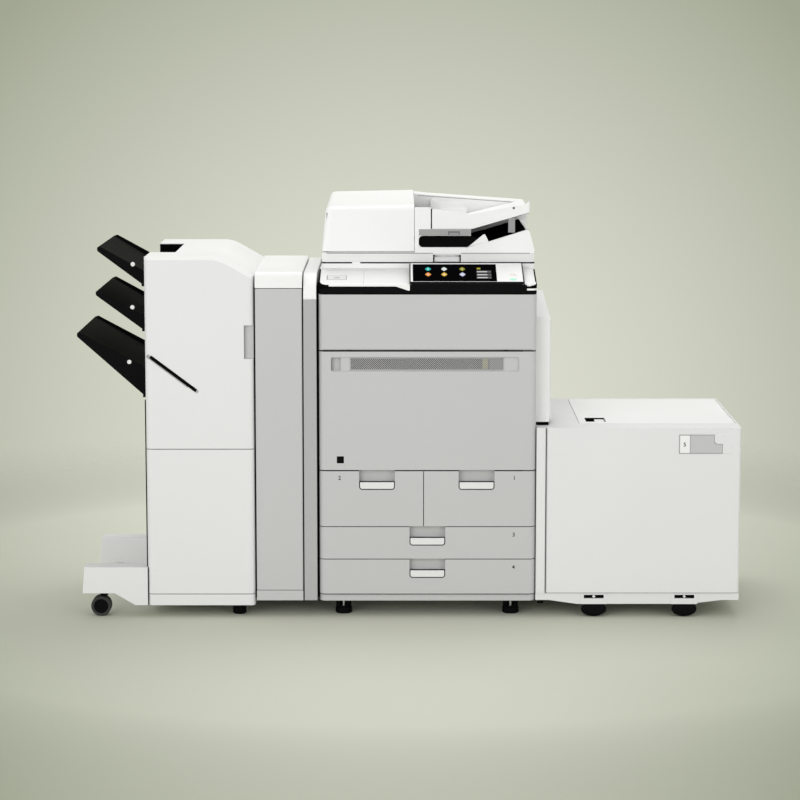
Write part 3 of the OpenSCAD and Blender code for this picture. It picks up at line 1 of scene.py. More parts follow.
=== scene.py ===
"""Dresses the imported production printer: moulded covers, screen, grille, marks, fasteners and studio."""

import json
import math

import bmesh
import bpy
from bpy.props import FloatProperty, FloatVectorProperty, IntProperty, PointerProperty
from mathutils import Matrix, Vector


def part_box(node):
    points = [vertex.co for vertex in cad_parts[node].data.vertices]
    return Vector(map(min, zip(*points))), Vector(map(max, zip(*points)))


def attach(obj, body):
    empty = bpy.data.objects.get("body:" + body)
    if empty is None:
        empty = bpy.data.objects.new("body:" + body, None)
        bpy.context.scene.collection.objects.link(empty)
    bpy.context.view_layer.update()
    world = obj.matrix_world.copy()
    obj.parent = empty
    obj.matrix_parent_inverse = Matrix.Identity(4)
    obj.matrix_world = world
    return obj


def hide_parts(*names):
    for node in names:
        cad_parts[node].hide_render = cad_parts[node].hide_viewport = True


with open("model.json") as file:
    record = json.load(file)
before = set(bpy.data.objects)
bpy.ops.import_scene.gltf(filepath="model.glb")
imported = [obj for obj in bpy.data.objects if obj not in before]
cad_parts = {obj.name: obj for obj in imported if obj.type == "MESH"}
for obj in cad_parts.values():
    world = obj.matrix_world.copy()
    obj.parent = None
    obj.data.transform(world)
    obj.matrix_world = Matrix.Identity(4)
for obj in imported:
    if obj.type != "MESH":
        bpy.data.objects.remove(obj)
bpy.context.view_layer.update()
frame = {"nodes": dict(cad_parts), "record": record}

bl_info = {
    "name": "Production printer dressing",
    "version": (1, 0, 0),
    "blender": (4, 5, 0),
    "location": "View3D > Sidebar > Printer",
    "description": "Builds the visible covers, screen, grille, marks and fasteners round the packed frame",
    "category": "Object",
}

MM = 0.001

# Edges that turn by more than this many degrees are rounded
SHARP = 28

NODES = frame["nodes"]
RECORD = frame["record"]
SLOT_OF = {part["node"]: part["material_slot"] for part in RECORD["subparts"]}
BODY_OF = {node: body for body, nodes in RECORD["behaviour"]["bodies"].items() for node in nodes}
X, Y, Z = Vector((1, 0, 0)), Vector((0, 1, 0)), Vector((0, 0, 1))


# Sizes and colours that a user would change


def length(name, description, default, low, high):
    """Property of a length, given in millimetres."""
    return FloatProperty(name=name, description=description, default=default * MM,
                         min=low * MM, max=high * MM, subtype="DISTANCE", unit="LENGTH")


def tint(name, description, default):
    """Property of a colour."""
    return FloatVectorProperty(name=name, description=description, subtype="COLOR", size=3, min=0, max=1,
                               default=default)


class PrinterSizes(bpy.types.PropertyGroup):
    """Sizes of what is added round the frame."""

    edge: length("Edge radius", "Rounding of the moulded covers' edges", 1.4, 0.2, 3)
    hole: length("Grille hole", "Width of a hole in the grille", 4.7, 2, 5)
    hole_pitch: length("Grille pitch", "Distance from hole to hole along a row", 6, 5.2, 12)
    hole_rows: IntProperty(
        name="Grille rows", description="Rows of holes in the grille", default=12, min=4, max=14)
    digit: length("Number height", "Height of the drawer numbers", 12, 6, 20)
    screw: length("Screw head", "Diameter of a screw head", 8, 4, 12)
    knob: length("Tray knob", "Diameter of the round heads on the output trays", 13, 6, 16)
    seal: length("Seal depth", "Depth of the dark seals behind the front faces", 1.5, 0.5, 4)


class PrinterColours(bpy.types.PropertyGroup):
    """Colours of the main finishes."""

    white: tint("White covers", "Console, scanner, feeder and top covers", (0.86, 0.86, 0.85))
    light: tint("Light covers", "Finisher and deck", (0.76, 0.76, 0.76))
    grey: tint("Grey covers", "Fronts of engine, relay unit and adapter", (0.54, 0.54, 0.54))
    black: tint("Black plastic", "Trays, band and panel", (0.005, 0.005, 0.0055))
    # The backdrop's paler middle and darker rim are a painted light falloff
    backdrop: tint("Backdrop", "Middle of the studio background", (0.69, 0.70, 0.60))
    backdrop_edge: tint("Backdrop edge", "Rim of the studio background", (0.36, 0.385, 0.29))


def sizes():
    return bpy.context.scene.printer_sizes


def colours():
    return bpy.context.scene.printer_colours


# Shader nodes


class Value:
    """An output of a shader node that Python's operators turn into Math nodes."""

    def __init__(self, build, socket):
        self.build, self.socket = build, socket

    def math(self, operation, *others):
        return self.build.node("ShaderNodeMath", {"operation": operation}, dict(enumerate((self, *others))))

    def __add__(self, other):
        return self.math("ADD", other)

    __radd__ = __add__

    def __mul__(self, other):
        return self.math("MULTIPLY", other)

    __rmul__ = __mul__

    def __sub__(self, other):
        return self.math("SUBTRACT", other)

    def __rsub__(self, other):
        return (self * -1).math("ADD", other)

    def __truediv__(self, other):
        return self.math("DIVIDE", other)

    def __lt__(self, other):
        return self.math("LESS_THAN", other)

    def __gt__(self, other):
        return self.math("GREATER_THAN", other)

    def __pow__(self, other):
        return self.math("POWER", other)

    def __abs__(self):
        return self.math("ABSOLUTE")

    def clamped(self):
        return self.build.node("ShaderNodeClamp", {}, {"Value": self})


class Build:
    """A shader node tree that is being built."""

    def __init__(self, owner):
        self.owner = owner
        owner.use_nodes = True
        self.tree = owner.node_tree
        self.tree.nodes.clear()

    def node(self, kind, settings, inputs, output=0):
        """Adds a node: its settings, then its values and links. Returns one of its outputs."""
        made = self.tree.nodes.new(kind)
        for key, value in settings.items():
            setattr(made, key, value)
        for key, value in inputs.items():
            if isinstance(value, Value):
                self.tree.links.new(value.socket, made.inputs[key])
            else:
                made.inputs[key].default_value = value
        return Value(self, made.outputs[output]) if made.outputs else None

    def place(self):
        return self.node("ShaderNodeTexCoord", {}, {}, "Object")

    def axes(self, vector):
        """The three parts of a vector."""
        parts = self.node("ShaderNodeSeparateXYZ", {}, {0: vector})
        return [Value(self, parts.socket.node.outputs[i]) for i in range(3)]

    def scaled(self, vector, factors):
        return self.node("ShaderNodeVectorMath", {"operation": "MULTIPLY"}, {0: vector, 1: factors})

    def noise(self, vector, scale, detail=2.0, rough=0.5):
        return self.node("ShaderNodeTexNoise", {}, {
            "Vector": vector, "Scale": scale, "Detail": detail, "Roughness": rough}, "Fac")

    def mix(self, factor, a, b):
        """Colour a where the factor is 0 and b where it is 1."""
        return self.node("ShaderNodeMix", {"data_type": "RGBA"}, {
            0: factor, 6: rgba(a), 7: rgba(b)}, 2)

    def dot(self, a, b):
        return self.node("ShaderNodeVectorMath", {"operation": "DOT_PRODUCT"}, {0: a, 1: b}, "Value")

    def bump(self, height, distance):
        return self.node("ShaderNodeBump", {}, {
            "Height": height, "Distance": distance, "Strength": 1.0}, "Normal")

    def surface(self, **inputs):
        """Principled shader with the named inputs, joined to the output. Returns the material."""
        shader = self.node("ShaderNodeBsdfPrincipled", {}, {
            name.replace("_", " "): rgba(value) if name in ("Base_Color", "Emission_Color") else value
            for name, value in inputs.items()})
        self.node("ShaderNodeOutputMaterial", {}, {"Surface": shader})
        return self.owner


def new_build(name):
    """The empty node tree of a new material."""
    return Build(bpy.data.materials.new(name))


def rgba(colour):
    """A colour as a socket takes it."""
    return colour if isinstance(colour, Value) else (*colour[:3], 1.0)


def shade(colour, share):
    """The colour times a share."""
    return tuple(channel * share for channel in colour[:3])


def moulded(name, colour, roughness, grain=0.00002, cloud=0.02, coat=0.0, gloss=0.4, other=None, mask=None):
    """Injection-moulded plastic: fine spark-eroded grain, faint clouding and uneven gloss. Where a mask
    of the place in millimetres is given, the second colour shows there."""
    b = new_build(name)
    place = b.place()
    broad = b.noise(place, 3.0, 3.0)
    speckle = b.noise(place, 900.0, 2.0)
    tint = b.mix(broad, shade(colour, 1 - cloud), shade(colour, 1 + cloud))
    if mask:
        tint = b.mix(mask(*b.axes(b.scaled(place, (1 / MM, 1 / MM, 1 / MM)))), tint, other)
    return b.surface(
        Base_Color=b.mix(speckle * 0.06, tint, (0, 0, 0)),
        Roughness=roughness + (broad - 0.5) * 0.08 + (speckle - 0.5) * 0.05,
        Normal=b.bump(b.noise(place, 1400.0, 1.0), grain),
        Coat_Weight=coat, Coat_Roughness=0.25, Specular_IOR_Level=gloss)


def brushed(name, colour, roughness, along):
    """Metal with drawn lines along one axis and a slightly uneven gloss."""
    b = new_build(name)
    place = b.place()
    stretch = [12.0 if axis == along else 1800.0 for axis in range(3)]
    lines = b.noise(b.scaled(place, stretch), 1.0, 3.0)
    broad = b.noise(place, 9.0, 2.0)
    return b.surface(
        Base_Color=b.mix(lines, shade(colour, 0.86), shade(colour, 1.08)),
        Metallic=1.0, Roughness=roughness + (lines - 0.5) * 0.12 + (broad - 0.5) * 0.1,
        Normal=b.bump(lines, 0.00001))


ZINC_METALLIC = 0.75


def zinc(name, colour, painted_shade_front=None):
    """Galvanised sheet with soft spangles; hinge parts in front of a plane are painted black as painted shade
    of the seam they show in.
    """
    b = new_build(name)
    place = b.place()
    cells = b.node("ShaderNodeTexVoronoi", {}, {"Vector": place, "Scale": 55.0}, "Color")
    spangle = b.axes(cells)[0]
    sheet = b.mix(spangle, shade(colour, 0.9), shade(colour, 1.06))
    metallic = ZINC_METALLIC
    # Painted shade: parts in front of the plane turn black and lose their metal look
    if painted_shade_front is not None:
        painted_shade_mask = b.axes(place)[1] < painted_shade_front * MM
        sheet = b.mix(painted_shade_mask, sheet, (0.01, 0.01, 0.01))
        metallic = (1 - painted_shade_mask) * ZINC_METALLIC
    return b.surface(
        Base_Color=sheet, Metallic=metallic, Roughness=0.36 + spangle * 0.12,
        Normal=b.bump(b.noise(place, 500.0, 2.0), 0.00001))


def glass(name, tint):
    """Clear pane with a faint smear."""
    b = new_build(name)
    smear = b.noise(b.place(), 7.0, 4.0)
    return b.surface(
        Base_Color=b.mix(smear, shade(tint, 0.97), tint),
        Roughness=0.02 + smear * 0.03, IOR=1.5, Transmission_Weight=0.9)


def rubber(name, colour):
    """Matt rubber with dust on it."""
    b = new_build(name)
    place = b.place()
    dust = b.noise(place, 60.0, 5.0, 0.7)
    return b.surface(
        Base_Color=b.mix(dust * 0.6, colour, shade((1, 1, 1), 0.06)),
        Roughness=0.62 + dust * 0.2, Normal=b.bump(b.noise(place, 700.0, 2.0), 0.00004))


def belt_film(name, colour):
    """Glossy dark film with faint bands across its travel."""
    b = new_build(name)
    place = b.place()
    bands = b.noise(b.scaled(place, (40.0, 2.0, 2.0)), 1.0, 2.0)
    return b.surface(
        Base_Color=b.mix(bands, shade(colour, 0.8), shade(colour, 1.4)),
        Roughness=0.18 + bands * 0.1, Coat_Weight=0.6, Coat_Roughness=0.08,
        Normal=b.bump(bands, 0.00003))


def lamp_plastic(name, colour, glow):
    """Tinted translucent plastic of a key or lamp, lit from inside."""
    b = new_build(name)
    cloud = b.noise(b.place(), 300.0, 2.0)
    return b.surface(
        Base_Color=b.mix(cloud, shade(colour, 0.9), colour), Roughness=0.2 + cloud * 0.1,
        Emission_Color=b.mix(cloud, shade(colour, 0.8), colour), Emission_Strength=glow,
        Coat_Weight=0.5)


def screen(name):
    """Touch screen that shows a plain home page: six icons and a short list."""
    b = new_build(name)
    low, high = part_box("touch_screen")
    px, py = b.axes(b.place())[:2]
    across = (px - low.x) / (high.x - low.x)
    up = (py - low.y) / (high.y - low.y)
    picture = b.mix(up, (0.0005, 0.0005, 0.0008), (0.001, 0.001, 0.0015))

    def inside(cx, cy, reach_x, reach_y):
        return (abs(across - cx) < reach_x) * (abs(up - cy) < reach_y)

    for cx, cy, colour in ICONS:
        spread = abs(across - cx) / 0.036
        rise = abs(up - cy) / 0.115
        picture = b.mix((spread ** 1.25 + rise ** 1.25) < 1.0, picture, colour)
        picture = b.mix((spread * 3.6 + rise * 2.8) < 1.0, picture, (0.8, 0.8, 0.8))
    for cy in LIST_ROWS:
        picture = b.mix(inside(0.85, cy, 0.088, 0.058), picture, (0.13, 0.13, 0.13))
        picture = b.mix(inside(0.83, cy, 0.06, 0.03), picture, (0.6, 0.6, 0.6))
    picture = b.mix(inside(0.79, 0.74, 0.022, 0.045), picture, (0.42, 0.38, 0.05))
    return b.surface(
        Base_Color=b.mix(b.noise(b.place(), 12.0), (0.001, 0.001, 0.001), (0.002, 0.002, 0.002)),
        Roughness=0.3 + b.noise(b.place(), 9.0) * 0.06, Specular_IOR_Level=0.0,
        Emission_Color=picture, Emission_Strength=1.0)


# Icons as across, up and colour, and the list's rows as up, in shares of the screen
ICONS = (
    (0.183, 0.713, (0.04, 0.50, 0.46)), (0.376, 0.713, (0.70, 0.74, 0.74)),
    (0.593, 0.713, (0.30, 0.28, 0.03)), (0.183, 0.400, (0.86, 0.34, 0.09)),
    (0.376, 0.400, (0.80, 0.50, 0.10)), (0.593, 0.400, (0.60, 0.62, 0.78)),
)
LIST_ROWS = (0.557, 0.383, 0.217)


def panel_plastic(name, edge, face, inset):
    """Black panel with a light face plate set in from its rim."""
    b = new_build(name)
    low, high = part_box("control_panel")
    place = b.place()
    px, py = b.axes(place)[:2]
    side = (abs(px - (low.x + high.x) / 2) < (high.x - low.x) / 2 - inset)
    depth = (abs(py - (low.y + high.y) / 2 + inset * 0.2) < (high.y - low.y) / 2 - inset * 1.1)
    grain = b.noise(place, 900.0, 2.0)
    return b.surface(
        Base_Color=b.mix(side * depth, b.mix(grain, edge, shade(edge, 1.3)),
                         b.mix(grain, face, shade(face, 0.97))),
        Roughness=0.42 + grain * 0.08, Specular_IOR_Level=0.1, Normal=b.bump(b.noise(place, 1400.0), 0.00001))


FINISHES = {}


def finishes():
    """One material for each of the record's slots and for the small fittings, made once."""
    if not FINISHES:
        c = colours()
        FINISHES.update({
            "white_cover": moulded("white_plastic", c.white, 0.45),
            "light_cover": moulded("light_plastic", c.light, 0.48),
            "grey_cover": moulded("grey_plastic", c.grey, 0.5),
            "black_plastic": moulded("black_moulding", c.black, 0.6, grain=0.00005, cloud=0.2, gloss=0.03),
            "painted_steel": zinc("galvanised_steel", (0.62, 0.63, 0.64)),
            # Engine frame: its parts in front of the front plane are painted black as shade
            "frame_steel": zinc("frame_steel", (0.62, 0.63, 0.64), painted_shade_front=-421.5),
            "bright_steel": brushed("drawn_steel", (0.60, 0.61, 0.63), 0.28, 0),
            "display": screen("screen_page"),
            "scanner_glass": glass("platen", (0.72, 0.80, 0.80)),
            "rubber": rubber("black_rubber", (0.012, 0.012, 0.012)),
            "start_green": lamp_plastic("start_lens", (0.36, 0.72, 0.55), 0.35),
            "stop_amber": lamp_plastic("stop_lens", (0.80, 0.74, 0.68), 0.1),
            "belt": belt_film("transfer_film", (0.035, 0.028, 0.024)),
            "toner": moulded("toner_bottle", (0.78, 0.78, 0.80), 0.3, coat=0.4),
            # Near black: real seals and linings, and also painted shade in gaps, recesses and under parts
            "seal": moulded("dark_seal", (0.004, 0.004, 0.004), 0.8, cloud=0.3, gloss=0.0),
            "joint": moulded("joint_shadow", (0.16, 0.16, 0.16), 0.7, gloss=0.1),
            # Mid grey: small real parts, and also painted shade of grooves and under the feeder
            "pad": moulded("grey_pad", (0.30, 0.30, 0.30), 0.55),
            "shaded": moulded("shaded_plastic", (0.36, 0.36, 0.36), 0.6, gloss=0.2),
            "yellow": moulded("filter_frame", (0.50, 0.46, 0.16), 0.5),
        })
    return FINISHES


# Meshes


class Shape:
    """Solids collected in one mesh, drawn in millimetres of the row frame."""

    def __init__(self):
        self.bm = bmesh.new()

    def prism(self, outline, low, high, place=None):
        """An outline in X and Y, carried along Z from low to high, then put in place."""
        rings = [[self.bm.verts.new((x, y, z)) for x, y in outline] for z in (low, high)]
        count = len(outline)
        self.bm.faces.new(rings[0][::-1])
        self.bm.faces.new(rings[1])
        for i in range(count):
            j = (i + 1) % count
            self.bm.faces.new((rings[0][i], rings[0][j], rings[1][j], rings[1][i]))
        if place:
            bmesh.ops.transform(self.bm, matrix=place, verts=rings[0] + rings[1])
        return self

    def upright(self, outline, y0, y1, at=(0.0, 0.0)):
        """An outline in X and Z, moved by at, that reaches from y0 back to y1."""
        return self.prism([(x + at[0], z + at[1]) for x, z in outline], 0, y1 - y0, facing(-Y, (0, y1, 0)))

    def box(self, low, high, place=None):
        (x0, y0, z0), (x1, y1, z1) = low, high
        return self.prism([(x0, y0), (x1, y0), (x1, y1), (x0, y1)], z0, z1, place)

    def lathe(self, profile, place, steps=32):
        """A profile of (radius, height) turned about Z; a radius of 0 closes an end."""
        rings = []
        for radius, height in profile:
            if radius == 0:
                rings.append([self.bm.verts.new((0, 0, height))])
                continue
            rings.append([self.bm.verts.new((radius * math.cos(a), radius * math.sin(a), height))
                          for a in (2 * math.pi * i / steps for i in range(steps))])
        for lower, upper in zip(rings, rings[1:]):
            for i in range(steps):
                j = (i + 1) % steps
                around = (lower, i), (lower, j), (upper, j), (upper, i)
                self.bm.faces.new(list(dict.fromkeys(ring[k % len(ring)] for ring, k in around)))
        bmesh.ops.transform(self.bm, matrix=place, verts=[v for ring in rings for v in ring])
        return self

    def copy(self, mesh, place):
        """Another mesh, in millimetres, put in place."""
        before = set(self.bm.verts)
        self.bm.from_mesh(mesh)
        bmesh.ops.transform(self.bm, matrix=place, verts=[v for v in self.bm.verts if v not in before])
        return self

    def mesh(self, name, edge=0.0, segments=2):
        """The collected mesh in metres, its edges rounded to a radius in millimetres."""
        bmesh.ops.scale(self.bm, vec=(MM, MM, MM), verts=self.bm.verts)
        bmesh.ops.recalc_face_normals(self.bm, faces=self.bm.faces)
        made = bpy.data.meshes.new(name)
        self.bm.to_mesh(made)
        self.bm.free()
        return rounded(made, edge * MM, segments)


def linked(name, data):
    """A new object in the scene."""
    made = bpy.data.objects.new(name, data)
    bpy.context.scene.collection.objects.link(made)
    return made


def evaluated(holder):
    """Plain mesh of an object with its modifiers, which is then removed."""
    graph = bpy.context.evaluated_depsgraph_get()
    made = bpy.data.meshes.new_from_object(holder.evaluated_get(graph))
    bpy.data.objects.remove(holder)
    return made


def rounded(mesh, width, segments=2):
    """A smooth-shaded copy of the mesh with its sharp edges rounded."""
    mesh.shade_smooth()
    worker = linked("worker", mesh)
    if width:
        bevel = worker.modifiers.new("edges", "BEVEL")
        bevel.width = width
        bevel.segments = segments
        bevel.limit_method = "ANGLE"
        bevel.angle_limit = math.radians(SHARP)
        bevel.harden_normals = True
        bevel.miter_outer = "MITER_ARC"
    weigh = worker.modifiers.new("normals", "WEIGHTED_NORMAL")
    weigh.keep_sharp = True
    made = evaluated(worker)
    made.name = mesh.name
    bpy.data.meshes.remove(mesh)
    return made


def piece(name, mesh, body, slot, material=None):
    """Puts a finished mesh in the scene, on its body and with its finish."""
    made = linked(name, mesh)
    mesh.materials.clear()
    mesh.materials.append(material or finishes()[slot])
    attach(made, body)
    return made


def add(name, shape, body, finish, edge=0.0, segments=2, slot=None):
    """Makes a piece of a shape in a named finish. A finish that is no slot of the record counts as
    black plastic unless another slot is given."""
    slot = slot or (finish if finish in SLOT_OF.values() else "black_plastic")
    return piece(name, shape.mesh(name, edge, segments), body, slot, finishes()[finish])


def corners(node):
    """Lowest and highest corner of a CAD node, in millimetres."""
    low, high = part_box(node)
    return low / MM, high / MM


def facing(direction, origin):
    """Matrix that sets local Z along a direction at an origin, local Y as near to up as it can."""
    z = Vector(direction).normalized()
    x = (Z if abs(z.z) < 0.9 else Y).cross(z).normalized()
    y = z.cross(x)
    turned = Matrix((x, y, z)).transposed().to_4x4()
    return Matrix.Translation(origin) @ turned


def softened(node, width):
    """A copy of a CAD node's shell with its flat faces joined and its edges rounded, in its place."""
    bm = bmesh.new()
    bm.from_mesh(NODES[node].data)
    bmesh.ops.remove_doubles(bm, verts=bm.verts, dist=0.002 * MM)
    bmesh.ops.dissolve_limit(bm, angle_limit=math.radians(0.3), verts=bm.verts, edges=bm.edges)
    if node in CREASES:
        x, z = CREASES[node]
        crease = [edge for edge in bm.edges
                  if all(abs(v.co.x - x * MM) < MM and abs(v.co.z - z * MM) < MM for v in edge.verts)]
        bmesh.ops.bevel(bm, geom=crease, offset=CREASE_REACH * MM, segments=8, profile=0.5, affect="EDGES")
    if node.startswith("output_tray"):
        low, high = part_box(node)
        tip = [edge for edge in bm.edges
               if all(v.co.x < low.x + TIP_ZONE * MM and v.co.y > high.y - 0.5 * MM for v in edge.verts)
               and edge.calc_length() < TIP_ZONE * MM
               and abs(edge.verts[0].co.x - edge.verts[1].co.x) < 25 * MM]
        bmesh.ops.bevel(bm, geom=tip, offset=TIP_RADIUS * MM, segments=6, profile=0.5, affect="EDGES",
                        clamp_overlap=True)
    bmesh.ops.recalc_face_normals(bm, faces=bm.faces)
    mesh = bpy.data.meshes.new(node + "_shell")
    bm.to_mesh(mesh)
    bm.free()
    made = piece(node + "_shell", rounded(mesh, width), BODY_OF[node], SLOT_OF[node])
    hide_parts(node)
    return made


# Where a flat top turns into a slope, and how far the rounding there reaches, in millimetres
CREASES = dict.fromkeys(("finisher_top_cover", "finisher_door"), (-557.5, 1076))
CREASE_REACH = 26.0

# Bevel asked for at the output trays' rear outer corners, which the small facets of the lip hold to
# 0.8 mm, and how near the tip its edges lie
TIP_RADIUS, TIP_ZONE = 26.0, 30.0


def pill(width, height, radius):
    """Rounded rectangle about the origin."""
    points, steps = [], 6
    for k, (sx, sy) in enumerate(((1, 1), (-1, 1), (-1, -1), (1, -1))):
        cx, cy = sx * (width / 2 - radius), sy * (height / 2 - radius)
        for i in range(steps + 1):
            a = math.radians(90 * k + 90 * i / steps)
            points.append((cx + radius * math.cos(a), cy + radius * math.sin(a)))
    return points


# Geometry nodes


def row_tree():
    """Node group that lays a tile out in columns and rows, each odd row shifted, as one mesh."""
    tree = bpy.data.node_groups.get("tile_rows")
    if tree:
        return tree
    tree = bpy.data.node_groups.new("tile_rows", "GeometryNodeTree")
    for label, kind in (("Tile", "Object"), ("Columns", "Int"), ("Rows", "Int"), ("Step X", "Float"),
                        ("Step Y", "Float"), ("Shift", "Float"), ("Weld", "Float"), ("Finish", "Material")):
        tree.interface.new_socket(label, in_out="INPUT", socket_type="NodeSocket" + kind)
    tree.interface.new_socket("Geometry", in_out="OUTPUT", socket_type="NodeSocketGeometry")

    def node(kind, settings=None, links=()):
        made = tree.nodes.new(kind)
        for key, value in (settings or {}).items():
            setattr(made, key, value)
        for key, value in links:
            if isinstance(value, bpy.types.NodeSocket):
                tree.links.new(value, made.inputs[key])
            else:
                made.inputs[key].default_value = value
        return made

    def sum_of(operation, a, b):
        return node("ShaderNodeMath", {"operation": operation}, ((0, a), (1, b))).outputs[0]

    given = node("NodeGroupInput").outputs
    count = sum_of("MULTIPLY", given["Columns"], given["Rows"])
    points = node("GeometryNodePoints", links=(("Count", count),)).outputs[0]
    index = node("GeometryNodeInputIndex").outputs[0]
    column = sum_of("FLOOR", sum_of("DIVIDE", index, given["Rows"]), 0.0)
    row = sum_of("SUBTRACT", index, sum_of("MULTIPLY", column, given["Rows"]))
    odd = sum_of("MODULO", row, 2.0)
    shift = sum_of("MULTIPLY", odd, given["Shift"])
    across = sum_of("ADD", sum_of("MULTIPLY", column, given["Step X"]), shift)
    place = node("ShaderNodeCombineXYZ", links=((0, across), (1, sum_of("MULTIPLY", row, given["Step Y"]))))
    moved = node("GeometryNodeSetPosition", links=(("Geometry", points), ("Position", place.outputs[0])))
    tile = node("GeometryNodeObjectInfo", links=(("Object", given["Tile"]), ("As Instance", True)))
    laid = node("GeometryNodeInstanceOnPoints", links=(
        ("Points", moved.outputs[0]), ("Instance", tile.outputs["Geometry"])))
    real = node("GeometryNodeRealizeInstances", links=(("Geometry", laid.outputs[0]),))
    weld = node("GeometryNodeMergeByDistance", links=(
        ("Geometry", real.outputs[0]), ("Distance", given["Weld"])))
    dressed = node("GeometryNodeSetMaterial", links=(
        ("Geometry", weld.outputs[0]), ("Material", given["Finish"])))
    node("NodeGroupOutput", links=((0, dressed.outputs[0]),))
    return tree


def laid_out(name, tile_mesh, finish, columns, rows, step_x, step_y, shift=0.0, weld=0.0):
    """The tile repeated by the node group, as a plain mesh in the tile's own units."""
    tile = linked(name + "_tile", tile_mesh)
    carrier = linked(name + "_carrier", bpy.data.meshes.new(name))
    modifier = carrier.modifiers.new("rows", "NODES")
    modifier.node_group = row_tree()
    values = {"Tile": tile, "Columns": columns, "Rows": rows, "Step X": step_x, "Step Y": step_y,
              "Shift": shift, "Weld": weld, "Finish": finish}
    for socket in modifier.node_group.interface.items_tree:
        if socket.in_out == "INPUT":
            modifier[socket.identifier] = values[socket.name]
    made = evaluated(carrier)
    bpy.data.objects.remove(tile)
    return made


# Operators

# Covers with moulded edges; the second value is their share of the edge radius. The bevel never
# overlaps small facets, so a cover that has some at its edges stays sharper than asked for.
COVERS = {
    "side_covers": 1.0, "base_skirt": 2.2, "rear_cover": 1.0, "console": 1.6, "console_band": 1.0,
    "upper_front_cover": 1.0, "front_door": 1.0, "drawer_1_front": 1.0, "drawer_2_front": 1.0,
    "drawer_3_front": 1.0, "drawer_4_front": 1.0, "reader_body": 1.0, "adf_lid": 0.8,
    "feeder_cover": 1.0, "document_tray": 1.0, "document_guide_front": 0.6, "document_guide_rear": 0.6,
    "relay_housing": 1.0, "relay_door": 1.0, "adapter_duct": 1.0, "finisher_housing": 1.0,
    "finisher_top_cover": 2.0, "finisher_door": 1.2, "finisher_lower_cover": 1.0,
    "output_tray_1": 1.2, "output_tray_2": 1.2, "output_tray_3": 1.2, "finisher_outriggers": 1.6,
    "deck_case": 1.2, "deck_front_cover": 1.6, "deck_lid": 0.8, "lid_latch": 0.5,
    "bypass_housing": 1.6, "bypass_tray": 1.0, "control_panel": 1.0,
}

# Planes of the row, corner radii and the finisher's top, in millimetres
ENGINE_LEFT, ENGINE_RIGHT = -265.5, 375.5
FINISHER_LEFT, FINISHER_RIGHT = -777.5, -457.5
FRONT = -450.0
READER_FRONT = -285.0
CONSOLE_LIP = 994.0
SLOPE = math.atan2(35.0, 165.0)
COVER_RADIUS = 18.0
FINISHER_RADIUS = 14.0
FLAT_TOP_END = -557.5
SLOPED_TOP_FALL = 0.58

# Where two-tone covers change tone: height of the finisher's white rim and of the bend that it follows
# at the crease, and heights on relay unit and adapter; on the lid, the height below which and the plane in
# front of which its front is darker as painted shade under the feeder
RIM_FROM, RIM_BEND, RIM_BEND_REACH = 1067.0, 5.0, 30.0
RELAY_TONE, ADAPTER_TONE, LID_SHADE_TOP, LID_SHADE_FRONT = 900.0, 951.5, 1073.5, -283.0


def finisher_rim(x, y, z):
    """Mask of the white rim along the finisher's top edge."""
    fall = (x - FLAT_TOP_END).math("MAXIMUM", 0.0) * SLOPED_TOP_FALL
    near = 1.0 - (abs(x - FLAT_TOP_END) / RIM_BEND_REACH).math("MINIMUM", 1.0)
    return (z + fall + near * near * RIM_BEND) > RIM_FROM


def two_tone(node):
    """Finish of a cover that carries two tones or painted shade, or None."""
    c = colours()
    if node == "finisher_door":
        return moulded("finisher_door", c.light, 0.48, other=c.white, mask=finisher_rim)
    if node == "relay_housing":
        return moulded("relay_housing", c.white, 0.45, other=c.grey, mask=lambda x, y, z: z < RELAY_TONE)
    if node == "adapter_duct":
        return moulded("adapter_duct", shade(c.grey, 0.8), 0.5, other=c.white,
                       mask=lambda x, y, z: z > ADAPTER_TONE)
    # Painted shade: the lid's front under the feeder is darker below a height
    if node == "adf_lid":
        return moulded("lid_plastic", c.white, 0.45, other=shade(c.white, 0.88),
                       mask=lambda x, y, z: (z < LID_SHADE_TOP) * (y < LID_SHADE_FRONT))
    if node in ("bypass_housing", "bypass_tray"):
        return finishes()["white_cover"]
    if node == "control_panel":
        return panel_plastic("panel_plastic", c.black, c.white, 3.4 * MM)
    return None


class PRINTER_OT_covers(bpy.types.Operator):
    """Replace the CAD covers by the same shells with moulded, rounded edges"""

    bl_idname = "printer.covers"
    bl_label = "Moulded covers"

    def execute(self, context):
        for node, share in COVERS.items():
            made = softened(node, sizes().edge * share)
            finish = two_tone(node)
            if finish:
                made.data.materials[0] = finish
        return {"FINISHED"}


def arc(x, y, radius, side=-1, up=-1, steps=6):
    """Quarter of a circle, from its point level with the middle to the one above or below it."""
    angles = [math.pi / 2 * i / steps for i in range(steps + 1)]
    return [(x + side * radius * math.cos(a), y + up * radius * math.sin(a)) for a in angles]


def band(path, rise):
    """Outline between a path and the same path higher up."""
    return path + [(x, z + rise) for x, z in path[::-1]]


def round_front(x0, x1, inset, back):
    """Path round a front cover at an inset, from left to right. An end at an outer side of engine or
    finisher goes round the corner; back is where the sides end."""
    radius = FINISHER_RADIUS if x0 < ENGINE_LEFT else COVER_RADIUS
    if x0 in (FINISHER_LEFT, ENGINE_LEFT):
        path = [(x0 + inset, back)] + arc(x0 + radius, FRONT + radius, radius - inset)
    else:
        path = [(x0, FRONT + inset)]
    if x1 in (FINISHER_RIGHT, ENGINE_RIGHT):
        path += arc(x1 - radius, FRONT + radius, radius - inset, side=1)[::-1] + [(x1 - inset, back)]
    else:
        path.append((x1, FRONT + inset))
    return [point for point in path if point[1] <= back]


def front_strip(shape, x0, x1, z0, z1, inset, depth, back):
    """Adds a strip that follows the front covers, from an inset to that much deeper."""
    path = round_front(x0, x1, inset, back) + round_front(x0, x1, inset + depth, back)[::-1]
    return shape.prism(path, z0, z1)


